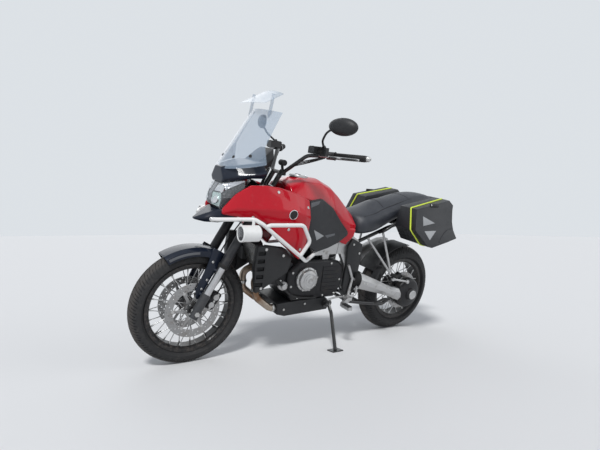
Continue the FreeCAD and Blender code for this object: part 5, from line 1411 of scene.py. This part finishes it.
class MOTORCYCLE_OT_running_gear(bpy.types.Operator):
    """Fit the pegs, pedals, springs and the rear drive's fittings"""

    bl_idname = "motorcycle.running_gear"
    bl_label = "Pegs, pedals and rear drive fittings"

    def execute(self, context):
        treads, pedals, toes, struts, knobs = [], [], [], [], []
        for side, _ in SIDES:
            treads += [block("tread", (34, 5, 6), mm(-150, side * (212 + number * 8), 328), 1)
                       for number in range(8)]
            pedals.append(hose("pedal", mirrored(side, PEDAL), 6))
            toes.append(rod("toe", mm(-30, side * 168, 346), mm(-30, side * 206, 344), 9, 2))
            foot = mm(-566, side * 176, 486) if side > 0 else mm(-540, -168, 606)
            for top in (mm(-372, side * 98, 730), mm(-500, side * 98, 779)):
                struts.append(rod("strut", top, foot, 8, 2))
            struts.append(turned("eye", STRUT_EYE, foot, ALONG_Y))
            knobs.append(turned("peg", PILLION_PEG, foot, ALONG_Y * side))
        fit("peg_treads", treads, "foot_pegs", "rubber")
        fit("gear_and_brake_pedals", pedals, "foot_pegs", "silver")
        fit("pedal_toes", toes, "foot_pegs", "rubber")
        fit("pillion_peg_struts", struts, "subframe", "silver")
        fit("pillion_pegs", knobs, "subframe", "rubber")
        spring = coil("spring", mm(-60, 168, 330), mm(-66, 190, 284), 7, 1.4, 9)
        fit("side_stand_spring", [spring], "stand_brackets", "bolt")
        drive = [(round_axle(REAR_AXLE, 92, math.tau * (number + 0.5) / 8, 149), ALONG_Y)
                 for number in range(8)]
        drive += [beside("swingarm", x, z, 1) for x, z in ((-330, 440), (-360, 432))]
        fit("rear_drive_screws", [bolts("screws", drive, 6, 4)], "final_drive", "bolt")
        cap = turned("cap", HUB_CAP, REAR_AXLE + mm(0, 200, 0), ALONG_Y)
        fit("rear_hub_cap", [cap], "final_drive", "silver")
        bellows = [(0, 30)]
        for number in range(6):
            bellows += [(number * 8 + 2, 52), (number * 8 + 6, 45)]
        bellows += [(50, 30), (0, 30)]
        boot = turned("boot", bellows, mm(-252, 136, 466), Vector((-1, 0, -0.2)), 28)
        fit("drive_shaft_boot", [boot], "swingarm", "rubber")
        arm = [mm(-590, 182, 452), mm(-744, 176, 420)]
        rods = [rod("torque_rod", arm[0], arm[1], 8, 2)]
        rods += [turned("eye", ROD_EYE, end, ALONG_Y) for end in arm]
        fit("rear_torque_rod", rods, "swingarm", "silver")
        line = hose("line", mirrored(1, BRAKE_LINE), 4)
        fit("rear_brake_hose", [line], "swingarm", "rubber")
        return {"FINISHED"}


LAMP_GLAND = ((-4, 0), (-4, 12), (4, 11), (14, 6), (15, 0))


class MOTORCYCLE_OT_guards(bpy.types.Operator):
    """Fit the fog lamps' lenses and the crash bars' ends"""

    bl_idname = "motorcycle.guards"
    bl_label = "Fog lamps and crash bar ends"

    def execute(self, context):
        bezels, lenses, ends, backs = [], [], [], []
        for side, _ in SIDES:
            front = mm(664, side * 280, 812)
            bezels.append(turned("bezel", LAMP_BEZEL, front, ALONG_X, 40))
            lenses.append(turned("lens", LAMP_GLASS, front, ALONG_X, 40))
            backs.append(turned("gland", LAMP_GLAND, mm(561, side * 280, 812), -ALONG_X, 20))
            ends.append(turned("flange", fronted(17, 6), mm(64, side * 130, 652), ALONG_Y * side, 24))
            ends.append(turned("end", fronted(13, 10), mm(748, side * 100, 846), ALONG_Y * side, 24))
        fit("fog_lamp_bezels", bezels, "fog_lamps", "white")
        fit("fog_lamp_lenses", lenses, "fog_lamps", "reflector")
        fit("fog_lamp_glands", backs, "fog_lamps", "rubber")
        fit("crash_bar_end_bolts", ends, "crash_bar_left", "bolt")
        return {"FINISHED"}


# Colour and strength of the world's light, and of what the camera, gloss and glass see in its place
WORLD_LIGHT = (rgb(0.84, 0.9, 1.0), 0.36)
WORLD_SEEN = (rgb(0.8, 0.84, 0.88), 0.9)
FLOOR_COLOUR = rgb(0.76, 0.765, 0.77)
# Suns: name, place in metres, spread in degrees and strength
SUNS = (
    ("key", (3.5, 4.0, 6.5), 10, 2.25),
    ("fill", (-4.0, 3.5, 3.0), 40, 0.35),
    ("back", (-1.0, -4.5, 3.5), 40, 0.4),
)
# The camera's place in millimetres, its yaw, pitch and roll in degrees, and its focal length in pixels
CAMERA_PLACE = mm(1683, 2496, 782)
CAMERA_TURNS = (-123.94, -0.13, 0.17)
FOCAL_PIXELS = 449.1
PICTURE_WIDTH = 600
SENSOR_WIDTH = 36


class MOTORCYCLE_OT_stage(bpy.types.Operator):
    """Set up the floor, the light and the camera"""

    bl_idname = "motorcycle.stage"
    bl_label = "Stage"

    def execute(self, context):
        scene = context.scene
        scene.view_settings.view_transform = "Standard"
        clear()
        bpy.ops.mesh.primitive_plane_add(size=60, location=(0, 0, 0))
        floor = added("floor")
        floor.data.materials.append(Finish("floor_paper").surface(Base_Color=FLOOR_COLOUR, Roughness=0.9))
        world = bpy.data.worlds.new("studio")
        world.use_nodes = True
        tree = world.node_tree
        lighting, seen = tree.nodes["Background"], tree.nodes.new("ShaderNodeBackground")
        for shader, (colour, strength) in ((lighting, WORLD_LIGHT), (seen, WORLD_SEEN)):
            shader.inputs[0].default_value = colour
            shader.inputs[1].default_value = strength
        rays = tree.nodes.new("ShaderNodeLightPath")
        total = rays.outputs["Is Camera Ray"]
        for kind in ("Is Glossy Ray", "Is Transmission Ray"):
            adding = tree.nodes.new("ShaderNodeMath")
            adding.operation = "ADD"
            adding.use_clamp = True
            tree.links.new(total, adding.inputs[0])
            tree.links.new(rays.outputs[kind], adding.inputs[1])
            total = adding.outputs[0]
        blend = tree.nodes.new("ShaderNodeMixShader")
        tree.links.new(total, blend.inputs[0])
        tree.links.new(lighting.outputs[0], blend.inputs[1])
        tree.links.new(seen.outputs[0], blend.inputs[2])
        tree.links.new(blend.outputs[0], tree.nodes["World Output"].inputs[0])
        scene.world = world
        for name, place, spread, power in SUNS:
            light = bpy.data.lights.new(name, "SUN")
            light.energy = power
            light.angle = math.radians(spread)
            lamp = bpy.data.objects.new(name, light)
            scene.collection.objects.link(lamp)
            lamp.location = place
            lamp.rotation_euler = (Vector((0, 0, 0.6)) - Vector(place)).to_track_quat("-Z", "Y").to_euler()
        camera = bpy.data.cameras.new("camera")
        camera.sensor_width = SENSOR_WIDTH
        camera.lens = FOCAL_PIXELS / PICTURE_WIDTH * SENSOR_WIDTH
        view = bpy.data.objects.new("camera", camera)
        scene.collection.objects.link(view)
        yaw, pitch, roll = (math.radians(turn) for turn in CAMERA_TURNS)
        look = Vector((math.cos(pitch) * math.cos(yaw), math.cos(pitch) * math.sin(yaw), math.sin(pitch)))
        turn = look.to_track_quat("-Z", "Y").to_matrix().to_4x4() @ Matrix.Rotation(roll, 4, "Z")
        view.matrix_world = Matrix.Translation(CAMERA_PLACE + Vector((SHIFT.x, SHIFT.y, 0))) @ turn
        scene.camera = view
        return {"FINISHED"}


OPERATORS = (
    MOTORCYCLE_OT_stage, MOTORCYCLE_OT_finishes, MOTORCYCLE_OT_tyres,
    MOTORCYCLE_OT_skins, MOTORCYCLE_OT_seat, MOTORCYCLE_OT_front_end,
    MOTORCYCLE_OT_wheels, MOTORCYCLE_OT_nose, MOTORCYCLE_OT_controls,
    MOTORCYCLE_OT_bodywork, MOTORCYCLE_OT_engine, MOTORCYCLE_OT_panniers,
    MOTORCYCLE_OT_tail, MOTORCYCLE_OT_running_gear, MOTORCYCLE_OT_guards,
)


class MOTORCYCLE_PT_panel(bpy.types.Panel):
    """Lists the steps in the sidebar"""

    bl_idname = "MOTORCYCLE_PT_panel"
    bl_label = "Motorcycle"
    bl_space_type = "VIEW_3D"
    bl_region_type = "UI"
    bl_category = "Motorcycle"

    def draw(self, context):
        for name in MotorcycleSettings.__annotations__:
            self.layout.prop(context.scene.motorcycle, name)
        for operator in OPERATORS:
            self.layout.operator(operator.bl_idname)


CLASSES = (MotorcycleSettings, *OPERATORS, MOTORCYCLE_PT_panel)


def register():
    for item in CLASSES:
        bpy.utils.register_class(item)
    bpy.types.Scene.motorcycle = bpy.props.PointerProperty(type=MotorcycleSettings)


def unregister():
    del bpy.types.Scene.motorcycle
    for item in reversed(CLASSES):
        bpy.utils.unregister_class(item)


def main():
    """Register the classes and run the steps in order."""
    register()
    for operator in OPERATORS:
        group, name = operator.bl_idname.split(".")
        getattr(getattr(bpy.ops, group), name)()


if __name__ == "__main__":
    main()
